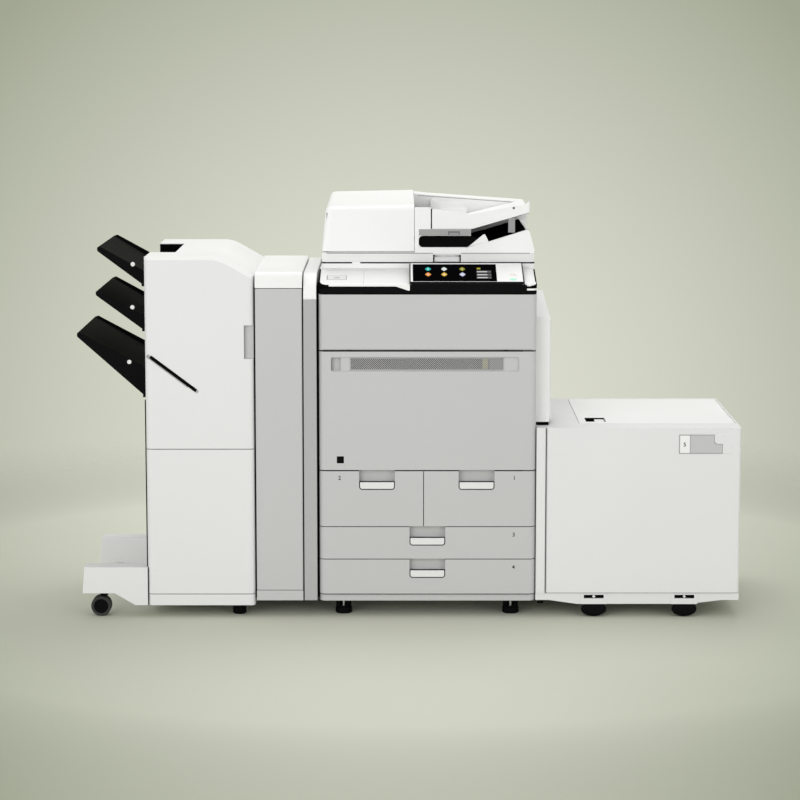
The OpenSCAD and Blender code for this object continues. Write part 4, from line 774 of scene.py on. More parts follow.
# Dark seals that fill the level seams: node, left, right, bottom, top
SEALS = (
    ("drawer_4_front", ENGINE_LEFT, ENGINE_RIGHT, 69.3, 71.3),
    ("drawer_4_front", ENGINE_LEFT, 1.5, 174.6, 176.8),
    ("drawer_4_front", 108.5, ENGINE_RIGHT, 174.6, 176.8),
    ("drawer_3_front", ENGINE_LEFT, 1.5, 272.6, 274.8),
    ("drawer_3_front", 108.5, ENGINE_RIGHT, 272.6, 274.8),
    ("drawer_2_front", ENGINE_LEFT, -148, 440.6, 444.2),
    ("drawer_2_front", -41, 42.3, 440.6, 444.2),
    ("drawer_1_front", 44.7, 147, 440.6, 444.2),
    ("drawer_1_front", 254, 335, 440.6, 444.2),
    ("front_door", ENGINE_LEFT, 335, 797, 800.7),
    ("upper_front_cover", ENGINE_LEFT, ENGINE_RIGHT, 965.6, 967.8),
    ("finisher_lower_cover", FINISHER_LEFT, FINISHER_RIGHT, 505.7, 507.8),
)

# How far back the seals' sides reach
SEAL_BACK = {"upper_front_cover": -438, "finisher_lower_cover": -428}
SIDE_BACK = -424

# Where the handles' left edges are; their width and height, and the lip's height and gap all round
HANDLES = {"drawer_1_front": 147.5, "drawer_2_front": -147.5, "drawer_3_front": 2.0, "drawer_4_front": 2.0}
HANDLE_W, HANDLE_H, LIP_H, LIP_GAP = 106.0, 56.0, 23.0, 2.5

# Strips and plates in gaps and recesses: name, node that carries it, low corner, high corner, finish
LINERS = (
    # Painted shade: black sheets filling the gaps between finisher, relay unit, adapter and engine
    ("finisher_gap", "relay_housing", (-457.3, -430, 56), (-452.7, 140, 984), "seal"),
    ("relay_gap", "relay_housing", (-314.3, -430, 56), (-310.7, 140, 1000), "seal"),
    ("adapter_gap", "adapter_duct", (-272.3, -428, 56), (-266.0, 140, 988), "seal"),
    ("deck_gap", "side_covers", (375.7, -424, 72), (377.2, 180, 569), "seal"),
    ("drawer_gap", "drawer_2_front", (42.3, FRONT + 1.6, 276), (44.2, -430, 440), "seal"),
    ("bypass_gap", "bypass_housing", (379, -389, 570.4), (416, -330, 579.8), "seal"),
    ("relay_cap_line", "relay_housing", (-452.3, FRONT + 1.2, 983.2), (-314.7, -432, 984.8), "seal"),
    ("relay_foot_line", "relay_housing", (-452.3, FRONT + 1.2, 81.2), (-314.7, -432, 82.8), "joint"),
    ("finisher_foot_line", "finisher_housing", (-767, FRONT + 1.2, 69.2), (-468, -440, 70.8), "joint"),
    ("leg_line", "finisher_outriggers", (-778.0, FRONT + 1.4, 37), (-775.6, -441, 150.5), "seal"),
    ("finisher_edge", "finisher_housing", (-780.3, -440, 152), (-777.6, -425, 652), "seal"),
    # Painted shade in the finisher door's grip recess: a grey floor and a darker side
    ("grip_floor", "finisher_door", (-485.2, -437.0, 776.5), (-458.2, -436.2, 874.5), "grey_cover"),
    ("grip_shade", "finisher_door", (-485.3, -446.0, 776.6), (-484.7, -437.0, 874.4), "pad"),
    ("deck_skirt_line", "deck_case", (384, FRONT + 4.0, 72.1), (979, -436, 73.8), "joint"),
    ("deck_strip_line", "deck_case", (405.6, FRONT + 1.6, 76), (406.4, -436, 569), "joint"),
    ("deck_lid_left", "deck_case", (509.1, -350, 562), (510.3, 168, 569.2), "seal"),
    ("deck_lid_right", "deck_case", (976.7, -350, 562), (977.9, 168, 569.2), "seal"),
    ("latch_floor", "deck_lid", (532.8, -319.7, 561.1), (561, -236.3, 561.8), "seal"),
    ("latch_wall", "deck_lid", (532.8, -237.2, 561.8), (592.2, -236.3, 569.4), "seal"),
    ("latch_end", "deck_lid", (591.0, -319.7, 561.4), (592.2, -237.2, 569.3), "joint"),
    ("deck_guide", "deck_case", (383, -444.5, 41), (401, -437, 50.8), "seal"),
    # Painted shade along the top of the lid's front, under the feeder cover
    ("lid_joint_left", "adf_lid", (-246, READER_FRONT - 0.3, 1072.6), (72, -284, 1075.2), "pad"),
    ("lid_joint_right", "adf_lid", (156, READER_FRONT - 0.3, 1072.6), (362, -284, 1075.2), "pad"),
    ("catch_left", "adf_lid", (72.7, -284.6, 1048), (76.2, -270, 1069.2), "seal"),
    ("catch_right", "adf_lid", (151.8, -284.6, 1048), (155.3, -270, 1069.2), "seal"),
    ("catch_face", "adf_lid", (76.2, -281, 1048.3), (151.8, -270, 1062), "light_cover"),
    ("lid_tab", "reader_body", (-170, READER_FRONT - 1.4, 1043.4), (-145, -284, 1047.5), "white_cover"),
    # Painted shade: the grey face under the document tray's beam
    ("beam_face", "adf_lid", (30, READER_FRONT - 0.5, 1127.2), (185, -284, 1145.9), "shaded"),
    ("catch_beam", "adf_lid", (117.6, READER_FRONT - 1.0, 1128.5), (152, -284.5, 1139.5), "joint"),
    ("catch_key", "adf_lid", (120.6, READER_FRONT - 1.6, 1128.8), (149, -285.8, 1135.5), "pad"),
    ("tray_gap", "adf_lid", (65.7, -281, 1127), (69.2, -276, 1206), "seal"),
    # Black side wall of the feeder's mouth: partly a black part, partly painted shade inside the mouth
    ("cover_mouth", "adf_lid", (12.2, -270, 1092), (13.4, 188, 1196), "seal"),
    ("tray_bracket", "document_tray", (297, -283.5, 1136), (317, -277, 1180), "pad"),
    ("door_stop_tab", "front_door", (-229, FRONT + 1.0, 741.8), (-227.4, FRONT + 4.9, 775), "joint"),
)


def cup(width, height, radius, base=0.0):
    """Path down a left side, round two lower corners and up the right side."""
    w = width / 2
    left = [(-w, base + height)] + arc(-w + radius, base + radius, radius)
    return left + [(-x, z) for x, z in left[::-1]]


class PRINTER_OT_seals(bpy.types.Operator):
    """Dark seals in the seams, painted shade in gaps and recesses, and the lips and painted shade outlines of
    the drawer handles
    """

    bl_idname = "printer.seals"
    bl_label = "Seals, gaps and handles"

    def execute(self, context):
        depth = sizes().seal / MM
        strips = {}
        for node, *reach in SEALS:
            front_strip(strips.setdefault(node, Shape()), *reach, depth, 3.0, SEAL_BACK.get(node, SIDE_BACK))
        for node, shape in strips.items():
            add(node + "_seal", shape, BODY_OF[node], "seal")
        for name, node, low, high, finish in LINERS:
            add(name, Shape().box(low, high), BODY_OF[node], finish, 0.15)
        for node, left in HANDLES.items():
            self.handle(node, left + HANDLE_W / 2, corners(node)[1].z - HANDLE_H)
        return {"FINISHED"}

    def handle(self, node, x, z):
        """The dark outline round a handle's lip, painted shade of the groove round it and of the gap above
        it, and the pale lip on it.
        """
        inner_w = HANDLE_W - 2 * LIP_GAP
        # Painted shade: the groove round the lip filled black, and a black bar over the lip for the gap above
        # it
        ring = (cup(HANDLE_W - 0.5, LIP_H + 1.5, 8.8, 0.2)
                + cup(inner_w + 0.1, LIP_H - LIP_GAP + 1.7, 6.4, LIP_GAP)[::-1])
        outline = Shape().upright(ring, FRONT + 1.0, FRONT + 4.9, (x, z))
        outline.box((x - inner_w / 2, FRONT + 1.0, z + LIP_H + 0.1),
                    (x + inner_w / 2, FRONT + 7.5, z + LIP_H + 2.0))
        name = node.replace("front", "handle")
        add(name + "_outline", outline, BODY_OF[node], "seal")
        lip = Shape().upright(cup(inner_w - 0.2, LIP_H - LIP_GAP - 0.1, 6.4, LIP_GAP + 0.1),
                              FRONT - 0.6, FRONT + 4.0, (x, z))
        add(name + "_lip", lip, BODY_OF[node], "light_cover", 1.6, 3)


class PRINTER_OT_grille(bpy.types.Operator):
    """Perforated vent grille in the front door, laid out hole by hole"""

    bl_idname = "printer.grille"
    bl_label = "Vent grille"

    def execute(self, context):
        low, high = corners("vent_grille")
        width, height, thick = high.x - low.x, high.z - low.z, high.y - low.y
        rows = sizes().hole_rows
        rim = 0.8
        step_y = (height - 2 * rim) / rows
        step_x = sizes().hole_pitch / MM
        columns = int((width - 2 * rim) / step_x - 0.5)
        side = (width - (columns + 0.5) * step_x) / 2
        tile = perforated_tile(step_x, step_y, sizes().hole / MM / 2, step_y * 0.46, thick)
        holes = laid_out("vent_grille", tile, finishes()["grey_cover"], columns, rows, step_x, step_y,
                         step_x / 2, 0.01)
        shape = Shape()
        start = Matrix.Translation((side, rim, 0))
        shape.copy(holes, start)
        for z0, z1 in ((0, rim), (height - rim, height)):
            shape.box((0, z0, 0), (width, z1, thick))
        for row in range(rows):
            shift = step_x / 2 * (row % 2)
            z0, z1 = rim + row * step_y, rim + (row + 1) * step_y
            shape.box((0, z0, 0), (side + shift, z1, thick))
            shape.box((side + shift + columns * step_x, z0, 0), (width, z1, thick))
        upright = facing(-Y, (low.x, high.y, low.z))
        bmesh.ops.transform(shape.bm, matrix=upright, verts=shape.bm.verts)
        made = add("vent_grille_plate", shape, "front_door", "grey_cover")
        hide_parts("vent_grille")
        backing = Shape().box((low.x + 3.2, high.y + 0.4, low.z + 3.2),
                              (high.x - 3.2, high.y + 1.2, high.z - 3.2))
        add("grille_backing", backing, "front_door", "seal", 0.1)
        for name, x0, x1, finish in (("filter_frame", 391, 408, "yellow"),
                                     ("filter_end", 412, width - 4, "pad")):
            strip = Shape().box((low.x + x0, high.y + 0.05, low.z + 4),
                                (low.x + x1, high.y + 0.35, high.z - 4))
            add(name, strip, "front_door", finish, 0.05, slot="grey_cover")
        return {"FINISHED"}


def perforated_tile(step_x, step_y, reach_x, reach_y, thick):
    """One cell of a perforated plate, with an oval hole through its middle."""
    bm, sides = bmesh.new(), 8
    cx, cy = step_x / 2, step_y / 2
    angles = [2 * math.pi * (i + 0.5) / sides for i in range(sides)]
    rims, outers = [], []
    for z in (0, thick):
        rims.append([bm.verts.new((cx + reach_x * math.cos(a), cy + reach_y * math.sin(a), z))
                     for a in angles])
        outer = []
        for a in angles:
            reach = min(cx / max(abs(math.cos(a)), 1e-6), cy / max(abs(math.sin(a)), 1e-6))
            outer.append(bm.verts.new((cx + reach * math.cos(a), cy + reach * math.sin(a), z)))
        outers.append(outer)
    box = [[bm.verts.new((x, y, z)) for x, y in ((step_x, step_y), (0, step_y), (0, 0), (step_x, 0))]
           for z in (0, thick)]
    turn = math.atan2(cy, cx)
    turns = [turn, math.pi - turn, math.pi + turn, 2 * math.pi - turn]
    for layer, flip in ((0, True), (1, False)):
        for i in range(sides):
            j = (i + 1) % sides
            a0, a1 = angles[i], angles[j] if j else angles[j] + 2 * math.pi
            ring = [rims[layer][j], rims[layer][i], outers[layer][i]]
            for k, turn in enumerate(turns):
                for lap in (0, 2 * math.pi):
                    if a0 < turn + lap < a1:
                        ring.append(box[layer][k])
            ring.append(outers[layer][j])
            bm.faces.new(ring[::-1] if flip else ring)
    for i in range(sides):
        j = (i + 1) % sides
        bm.faces.new((rims[0][i], rims[0][j], rims[1][j], rims[1][i]))
    mesh = bpy.data.meshes.new("perforated_tile")
    bm.to_mesh(mesh)
    bm.free()
    return mesh


# Drawer numbers as (text, x, z, body), on the front plane
MARKS = (("1", 312.1, 420.3, "drawer_1"), ("2", -205.3, 420.3, "drawer_2"), ("3", 311.2, 249.5, "drawer_3"),
         ("4", 311.2, 151.5, "drawer_4"), ("5", 815.5, 520.5, "deck"))

# Size plate of the deck: left, bottom, width, height
PLATE = (799.5, 494.0, 128.0, 56.0)


class PRINTER_OT_marks(bpy.types.Operator):
    """Printed drawer numbers, the size card and the plain label"""

    bl_idname = "printer.marks"
    bl_label = "Numbers and labels"

    def execute(self, context):
        ink = moulded("ink", (0.01, 0.01, 0.01), 0.5, gloss=0.2)
        for text, x, z, body in MARKS:
            curve = bpy.data.curves.new("mark", "FONT")
            curve.body = text
            curve.align_x = curve.align_y = "CENTER"
            curve.size = sizes().digit / MM * 1.4
            curve.extrude = 0.05
            curve.offset = 0.25
            flat = evaluated(linked("mark", curve))
            plane = FRONT - (1.75 if body == "deck" else 0.02)
            shape = Shape().copy(flat, facing(-Y, (x, plane, z)))
            bmesh.ops.remove_doubles(shape.bm, verts=shape.bm.verts, dist=0.001)
            piece("number_" + text, shape.mesh("number_" + text), body, "black_plastic", ink)
        label = Shape().prism(pill(21, 21, 1.5), 0, 0.25, facing(-Y, (-202.9, FRONT, 475.3)))
        add("door_label", label, "front_door", "black_plastic", 0.05)
        x0, z0, width, height = PLATE
        steps = [(0, 0), (width, 0), (width, 28.5), (width - 14, 28.5)]
        steps += arc(width - 14, 38.5, 10, steps=4)[::-1] + [(width - 24, height), (0, height)]
        outline = [(x - 0.6 if x == 0 else x + 0.6, z - 0.6 if z < 20 else z + 0.6) for x, z in steps]
        rim = Shape().upright(outline, FRONT - 1.15, FRONT + 0.5, (x0, z0))
        add("size_plate", rim, "deck", "shaded", 0.2, slot="grey_cover")
        tab = Shape().prism(pill(29, 52, 2), 0, 0.35, facing(-Y, (x0 + 16.5, FRONT - 1.3, z0 + 28)))
        add("size_tab", tab, "deck", "white_cover", 0.1)
        card = [(x, z) for x, z in steps if x > 0]
        card = [(x - 1.6 if x > 60 else x, z - 1.6 if z > 20 else z + 2.2) for x, z in card]
        face = Shape().upright([(33, 2.2)] + card + [(33, height - 1.6)], FRONT - 1.6, FRONT - 1.1, (x0, z0))
        add("size_card", face, "deck", "grey_cover", 0.1)
        return {"FINISHED"}


def screw_head(diameter):
    """Pan head with a round drive recess, standing on Z 0."""
    r = diameter / 2
    return Shape().lathe([(0, r * 0.12), (r * 0.34, r * 0.12), (r * 0.4, r * 0.44), (r * 0.62, r * 0.4),
                          (r * 0.88, r * 0.24), (r, r * 0.06), (r, 0), (0, 0)], Matrix(), 16)


# Screws on the backs: node, columns, rows, inset across, inset up
BACK_SCREWS = (
    ("rear_cover", 4, 6, 20, 30), ("finisher_housing", 3, 5, 22, 40), ("relay_housing", 2, 5, 16, 40),
    ("deck_case", 4, 3, 26, 60),
)

# Lowest and highest level of the screws
SCREWS_FROM, SCREWS_TO = 80, 960

# Round heads on the output trays: x and z of each
KNOBS = ((-815.0, 1050.1), (-817.7, 922.7), (-829.2, 759.7))


class PRINTER_OT_screws(bpy.types.Operator):
    """Screw heads on the backs and round knobs on the output trays"""

    bl_idname = "printer.screws"
    bl_label = "Screws and knobs"

    def execute(self, context):
        head = screw_head(sizes().screw / MM)
        head_mesh = bpy.data.meshes.new("screw_head")
        head.bm.to_mesh(head_mesh)
        head.bm.free()
        for node, columns, rows, side, rise in BACK_SCREWS:
            low, high = corners(node)
            bottom, top = max(low.z, SCREWS_FROM), min(high.z, SCREWS_TO)
            step_x = (high.x - low.x - 2 * side) / (columns - 1)
            step_z = (top - bottom - 2 * rise) / (rows - 1)
            grid = laid_out(node + "_screws", head_mesh, finishes()["bright_steel"], columns, rows,
                            step_x, step_z)
            place = facing(Y, (high.x - side, high.y - 0.01, bottom + rise))
            shape = Shape().copy(grid, place)
            add(node + "_screws", shape, BODY_OF[node], "bright_steel")
        for n, (x, z) in enumerate(KNOBS, 1):
            front = corners("output_tray_%d" % n)[0].y
            r = sizes().knob / MM / 2
            knob = Shape().lathe([(0, r * 0.5), (r * 0.25, r * 0.5), (r * 0.32, r * 0.62), (r * 0.8, r * 0.6),
                                  (r, r * 0.35), (r, 0), (0, 0)], facing(-Y, (x, front, z)), 28)
            add("tray_knob_%d" % n, knob, "tray_%d" % n, "white_cover")
        return {"FINISHED"}


# Width of each wheel's tread and radius of the axles
TREADS = {"caster_wheels_front": 15, "caster_wheels_rear": 15,
          "deck_wheels_left": 26, "deck_wheels_right": 26}
AXLE = 4


def mirrored(profile, width):
    """A profile of (radius, height) and its mirror image at the other end of a width."""
    return profile + [(radius, width - height) for radius, height in profile[::-1]]


class PRINTER_OT_wheels(bpy.types.Operator):
    """Casters and deck wheels with tyre, hub and axle, and the feet"""

    bl_idname = "printer.wheels"
    bl_label = "Wheels and feet"

    def execute(self, context):
        for node, tread in TREADS.items():
            low, high = corners(node)
            self.wheels(node, (high.z - low.z) / 2, [(low.y, low.y + tread), (high.y - tread, high.y)],
                        (low + high) / 2)
        for node in ("deck_wheels_left", "deck_wheels_right"):
            low, high = corners(node)
            self.wheel_front(node, (low.x + high.x) / 2)
        self.feet()
        self.finisher_feet()
        return {"FINISHED"}

    def wheels(self, node, radius, spans, middle):
        """A pair of tyres with their hubs on one axle."""
        tyre, hub = Shape(), Shape()
        for y0, y1 in spans:
            width = y1 - y0
            place = facing(Y, (middle.x, y0, middle.z))
            t = width * 0.22
            bead = (radius * 0.72, 0.6)
            tyre.lathe(mirrored([bead, (radius * 0.86, 0), (radius - t * 0.6, 0),
                                 (radius - t * 0.15, t * 0.4), (radius, t)], width) + [bead], place, 56)
            hub.lathe(mirrored([(0, 1.2), (radius * 0.2, 1.2), (radius * 0.24, 2.4), (radius * 0.6, 2.6),
                                (radius * 0.66, 1.0), (radius * 0.72, 1.0)], width), place, 56)
        reach = spans[1][0] - spans[0][1] + 4
        hub.lathe([(0, 0), (AXLE, 0), (AXLE, reach), (0, reach)],
                  facing(Y, (middle.x, spans[0][1] - 2, middle.z)), 24)
        body = BODY_OF[node]
        made = add(node + "_tyres", tyre, body, SLOT_OF[node])
        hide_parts(node)
        add(node + "_hubs", hub, body, "black_plastic")

    def wheel_front(self, node, x):
        """Domed oval guard and the bracket's dark window in front of a deck wheel."""
        squash = facing(-Y, (x, FRONT + 9, 22.6)) @ Matrix.Diagonal((1, 0.56, 1, 1))
        guard = Shape().lathe([(0, 8.5), (14, 8.2), (27, 6.6), (34, 4.4), (37.4, 1.2), (37.6, 0), (0, 0)],
                              squash, 48)
        add(node + "_guard", guard, "deck", "black_plastic")
        window = Shape().box((x - 29.4, FRONT + 12, 56.2), (x + 29.4, FRONT + 13, 66.8))
        window.box((x - 29.5, FRONT + 6, 61), (x - 8, FRONT + 12, 62.5))
        window.box((x + 8, FRONT + 6, 61), (x + 29.5, FRONT + 12, 62.5))
        add(node + "_window", window, "deck", "seal")
        stud = Shape().lathe([(0, 9), (2.6, 9), (4.0, 7.6), (4.0, 0), (0, 0)],
                             facing(-Y, (x, FRONT + 12, 61.5)), 24)
        add(node + "_stud", stud, "deck", "white_cover")

    def feet(self):
        """Levelling feet of the engine with their threads and brackets."""
        low, high = corners("engine_feet")
        pads, studs = Shape(), Shape()
        for x in (low.x + 25, high.x - 25):
            for y in (low.y + 25, high.y - 25):
                up = Matrix.Translation((x, y, 0))
                pads.lathe([(0, 0), (22, 0), (25, 3), (25, 8), (23.5, 9), (23.5, 11), (25, 12), (25, 16),
                            (22, 20), (9, 20), (9, 16), (0, 16)], up, 48)
                # Ribbed bracket round the stud, open to the front
                for k in range(-4, 5):
                    turn = Matrix.Rotation(math.radians(33 * k), 4, "Z")
                    pads.box((-3.6, 13, 21), (3.6, 22.5, 48), up @ turn)
                pads.lathe([(0, 44), (23, 44), (23, 48), (0, 48)], up, 32)
                thread = [(0, 16)]
                z = 16.0
                while z < 43:
                    thread += [(5.2, z), (6, z + 0.7)]
                    z += 1.5
                studs.lathe(thread + [(5.2, z), (0, z)], up, 20)
        made = add("foot_pads", pads, "line", "black_plastic")
        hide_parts("engine_feet")
        add("foot_studs", studs, "line", "bright_steel")

    def finisher_feet(self):
        """Ribbed black sleeves over the finisher's two feet."""
        sleeves = Shape()
        for y in (-400, 190):
            up = Matrix.Translation((-507.5, y, 0))
            sleeves.lathe([(0, 0.1), (15, 0.1), (17, 1.5), (18.4, 18), (20.4, 20), (21.2, 35.4), (0, 35.4)],
                          up, 40)
            for k in range(8):
                turn = Matrix.Rotation(math.radians(45 * k), 4, "Z")
                sleeves.box((-1.4, 15, 3), (1.4, 20.2, 18), up @ turn)
        add("finisher_feet", sleeves, "line", "black_plastic")


def on_slope():
    """Matrix of the console's sloped face, from millimetres along it."""
    return Matrix.Translation((0, FRONT, CONSOLE_LIP)) @ Matrix.Rotation(SLOPE, 4, "X")


# Parts that lie flat on the console's slope: name, low corner, high corner, finish
SLOPE_PARTS = (
    ("card_filler", (-243.4, 36.2, -0.6), (-185.6, 59.8, 0.02), "white_cover"),
    ("card_frame", (-243, 53, -0.3), (-184, 97, 0.12), "pad"),
    ("card_pad", (-240, 56, -0.3), (-185.5, 95, 0.3), "light_cover"),
    ("card_stud", (-221, 68, -0.3), (-205, 75, 0.5), "shaded"),
    ("console_seam", (-133.9, 3, -0.3), (-133.2, 150, 0.04), "pad"),
    # Painted shade of a faint groove on the slope
    ("console_step", (-248, 149, -0.3), (-70, 151, 0.04), "pad"),
    # Black edges at the console's sides: the black band's ends, and painted shade of the gap beside them
    ("console_edge_left", (-265.7, 30, -1.2), (-262.2, 160, 0.5), "seal"),
    ("console_edge_right", (371.6, 30, -1.2), (375.7, 160, 0.5), "seal"),
)

# Black corner of the console's front, from its outer edge: x inwards and distance up the slope
CONSOLE_CORNER = ((-0.3, -1.0), (30, -1.0), (20, 2.5), (12, 8), (6.5, 17), (3.4, 31), (-0.3, 31))


class PRINTER_OT_fittings(bpy.types.Operator):
    """Small fittings of finisher, console, feeder, back and toner bay"""

    bl_idname = "printer.fittings"
    bl_label = "Fittings"

    def execute(self, context):
        self.finisher()
        self.console()
        self.feeder()
        self.back()
        self.inside()
        return {"FINISHED"}

    def finisher(self):
        """Dark lining of the exit corner and the door's slanted trim, with painted shade along its lower
        edge.
        """
        low = corners("finisher_top_cover")[0]
        x0, x1, y0, y1, z0, z1 = low.x, low.x + 77, -270, 80, 1036, 1075.7
        liner = Shape()
        liner.box((x0 + 0.5, y0 + 0.3, z0), (x1 - 0.3, y1 - 0.3, z0 + 0.8))
        liner.box((x0 + 0.5, y1 - 1.1, z0), (x1 - 0.3, y1 - 0.3, z1 - 3))
        liner.box((x1 - 1.1, y0 + 0.3, z0), (x1 - 0.3, y1 - 0.3, z1 - 3))
        add("exit_liner", liner, "line", "seal", 0.2)
        # Slanted trim: a grey edge of painted shade below it, the black strip on it and its round end
        along = Matrix.Translation((-765.5, FRONT - 1.2, 791)) @ Matrix.Rotation(math.radians(37), 4, "Y")
        for name, y0, y1, x0, x1, z0, z1, finish in (
                ("trim_edge", 0.0, 2.0, -2, 150, -12.6, -2, "shaded"),
                ("trim_strip", -0.6, 1.6, 8, 177, -9.4, 0.4, "seal"),
                ("trim_end", -0.5, 1.6, 176, 183, -8.6, -1.0, "shaded")):
            shape = Shape().box((x0, y0, z0), (x1, y1, z1), along)
            add(name, shape, "finisher_door", finish, 0.6)

    def console(self):
        """Card recess, seams, painted shade of a groove and beside the sides, black corners and lip, and the
        dark joint under the lid.
        """
        place = on_slope()
        for name, low, high, finish in SLOPE_PARTS:
            add(name, Shape().box(low, high, place), "line", finish, 0.1)
        corner = Shape()
        for edge, side, reach in ((ENGINE_LEFT, 1, 1.0), (ENGINE_RIGHT, -1, 0.3)):
            outline = [(edge + side * x * reach, y) for x, y in CONSOLE_CORNER]
            corner.prism(outline[::side], -1.5, 0.5, place)
        for x0, x1, top in ((ENGINE_LEFT, -235.5, 994.9), (346, ENGINE_RIGHT, 990.6),
                            (357.5, ENGINE_RIGHT, 992.6)):
            front_strip(corner, x0, x1, 984, top, -0.4, 1.6, -425)
        add("console_corners", corner, "line", "seal")
        lip = Shape().box((2.5, -0.5, -1.0), (346, 14, 0.4), place)
        lip.upright([(2.5, 994.6), (2.5, 972), (346, 972), (346, 994.6)], FRONT - 0.8, FRONT + 0.6)
        add("console_lip", lip, "line", "black_plastic")
        low, high = corners("reader_body")
        middle = ((low.x + high.x) / 2, (low.y + high.y) / 2, 0)
        w, d = high.x - low.x, high.y - low.y
        outer = pill(w + 1.4, d + 1.4, 12.2)
        ring = Shape()
        k = 1 - 8 / w
        for (xa, ya), (xb, yb) in zip(outer, outer[1:] + outer[:1]):
            ring.prism([(xa, ya), (xb, yb), (xb * k, yb * k), (xa * k, ya * k)], 1043.6, 1047.5,
                       Matrix.Translation(middle))
        add("lid_joint", ring, "line", "seal")

    def feeder(self):
        """Linings, lines and stops of the feeder's mouth, ramp and document tray. The sheet on the ramp, the
        strip under the tray, the line on the fence and the dot on the tray are painted shade; the mouth's
        lining is partly a black part and partly painted shade.
        """
        # Painted shade: a black sheet on the ramp where it lies in shade under the tray
        exit_shade = band([(18, 1091.5), (170.5, 1091.5), (238.5, 1108.5), (349, 1142.7)], 1.2)
        # Black lining of the mouth, partly a black part and partly painted shade
        mouth = [(29.6, 1126.4)] + arc(43.6, 1105.7, 14)
        mouth += [(170, 1091.7), (188, 1096.5), (210, 1119), (184, 1126.4)]
        corner = Shape()
        for z, side in ((1091.5, 1), (1126.5, -1)):
            corner.upright([(29.4, z)] + arc(42.5, z + side * 13, 13, up=-side),
                           READER_FRONT + 0.2, READER_FRONT + 9)
        # Painted shade: a black strip along the document tray's underside
        under = band([(70, 1146.9), (190.5, 1146.9), (359, 1195.2)], -0.9)
        wedge = [(176, 1091.5), (222, 1129.6), (228, 1130.4), (237.4, 1111), (238.5, 1107.5), (170.5, 1090.5)]
        # Painted shadow line under the fence's rounded top
        line = band([(30, 1219), (56, 1217.5), (350, 1196.6)], -2.2)
        # Painted shade: a dark dot for a small recess on the tray
        recess_shade = Shape().lathe([(0, 0.5), (3.2, 0.5), (3.8, 0), (0, 0)],
                             facing(-Y, (313, READER_FRONT + 0.3, 1209)), 20)
        for name, shape, body, finish, edge in (
                ("exit_mat", Shape().upright(exit_shade, READER_FRONT + 12, 188), "feeder", "seal", 0),
                ("mouth_lining", Shape().upright(mouth, READER_FRONT + 9, READER_FRONT + 12), "feeder",
                 "seal", 0),
                ("mouth_corners", corner, "feeder", "white_cover", 0),
                ("tray_lining", Shape().upright(under, READER_FRONT + 2, 186), "original_tray", "seal", 0),
                ("sheet_stop", Shape().upright(wedge, READER_FRONT - 0.1, READER_FRONT + 8), "feeder",
                 "white_cover", 0.8),
                ("fence_line", Shape().upright(line, 189.3, 190.4), "feeder", "shaded", 0),
                ("tray_plug", recess_shade, "original_tray", "joint", 0)):
            add(name, shape, body, finish, edge)

    def back(self):
        """Power inlet with its pins, a bare rating plate and dust nets behind the vents."""
        inlet, pins = Shape(), Shape()
        x0, x1, z0, z1 = 275.7, 305.3, 101.2, 130.8
        for a, b in (((x0, 446, z0), (x0 + 2.5, 450.3, z1)), ((x1 - 2.5, 446, z0), (x1, 450.3, z1)),
                     ((x0, 446, z0), (x1, 450.3, z0 + 5)), ((x0, 446, z1 - 5), (x1, 450.3, z1)),
                     ((x0, 445.2, z0), (x1, 446, z1))):
            inlet.box(a, b)
        for x, z in ((282.5, 114), (298.5, 114), (290.5, 119)):
            pins.box((x - 1, 446, z - 2.5), (x + 1, 449.4, z + 2.5))
        add("power_inlet", inlet, "line", "black_plastic", 0.4)
        add("inlet_pins", pins, "line", "bright_steel", 0.3)
        plate = Shape().prism(pill(78, 46, 3), 0, 0.5, facing(Y, (230, 450, 122)))
        add("rating_plate", plate, "line", "light_cover", 0.1)
        nets = Shape()
        for x0, x1 in ((-196, -34), (144, 306)):
            nets.box((x0, 438.2, 610), (x1, 439.6, 740))
        for x in (-251, 359.4):
            nets.box((x, 208, 610), (x + 1.4, 372, 740))
        add("vent_nets", nets, "line", "seal", 0.1)

    def inside(self):
        """A coloured tab and ring at each toner bottle."""
        low, high = corners("toner_bottles")
        z = (low.z + high.z) / 2
        tints = (("yellow_tab", (0.80, 0.62, 0.03)), ("magenta_tab", (0.62, 0.03, 0.22)),
                 ("cyan_tab", (0.02, 0.30, 0.62)), ("black_tab", (0.02, 0.02, 0.02)))
        for k, (name, tint) in enumerate(tints):
            x = ENGINE_LEFT + (ENGINE_RIGHT - ENGINE_LEFT) * (k + 1) / 5
            shape = Shape().prism(pill(22, 9, 2), 0, 1.2, facing(-Y, (x, -390.2, z - 55)))
            shape.lathe([(26, 0), (34, 0), (34, 3), (32, 5), (28, 5), (26, 3), (26, 0)],
                        facing(-Y, (x, -402, z)), 40)
            piece(name, shape.mesh(name, 0.4), "line", "toner", moulded(name, tint, 0.35))


class PRINTER_OT_cad_finishes(bpy.types.Operator):
    """Finishes for the CAD nodes that are shown as they are"""

    bl_idname = "printer.cad_finishes"
    bl_label = "Finishes of the inner parts"

    def execute(self, context):
        for name, node in NODES.items():
            if not node.hide_render:
                node.data.materials.clear()
                slot = "frame_steel" if name == "engine_frame" else SLOT_OF[name]
                node.data.materials.append(finishes()[slot])
        return {"FINISHED"}


# Studio

PIXELS = 800
FOCAL_PX = 2609.7
SENSOR = 36.0
CAMERA_AT = Vector((-0.0264, -8.0733, 1.7166))
PITCH = 0.1385

# Background and floor: where the painted light falloff starts to darken them and how far on it is darkest,
# in pixels from a middle that lies lower than the picture's, and how fast
RIM_START, RIM_REACH, RIM_LOWERED, RIM_POWER = 150.0, 430.0, 35.0, 1.3

# Floor: where its paint starts to fade into the background and over what distance, in metres
FADE_START, FADE_REACH = 1.7, 1.6

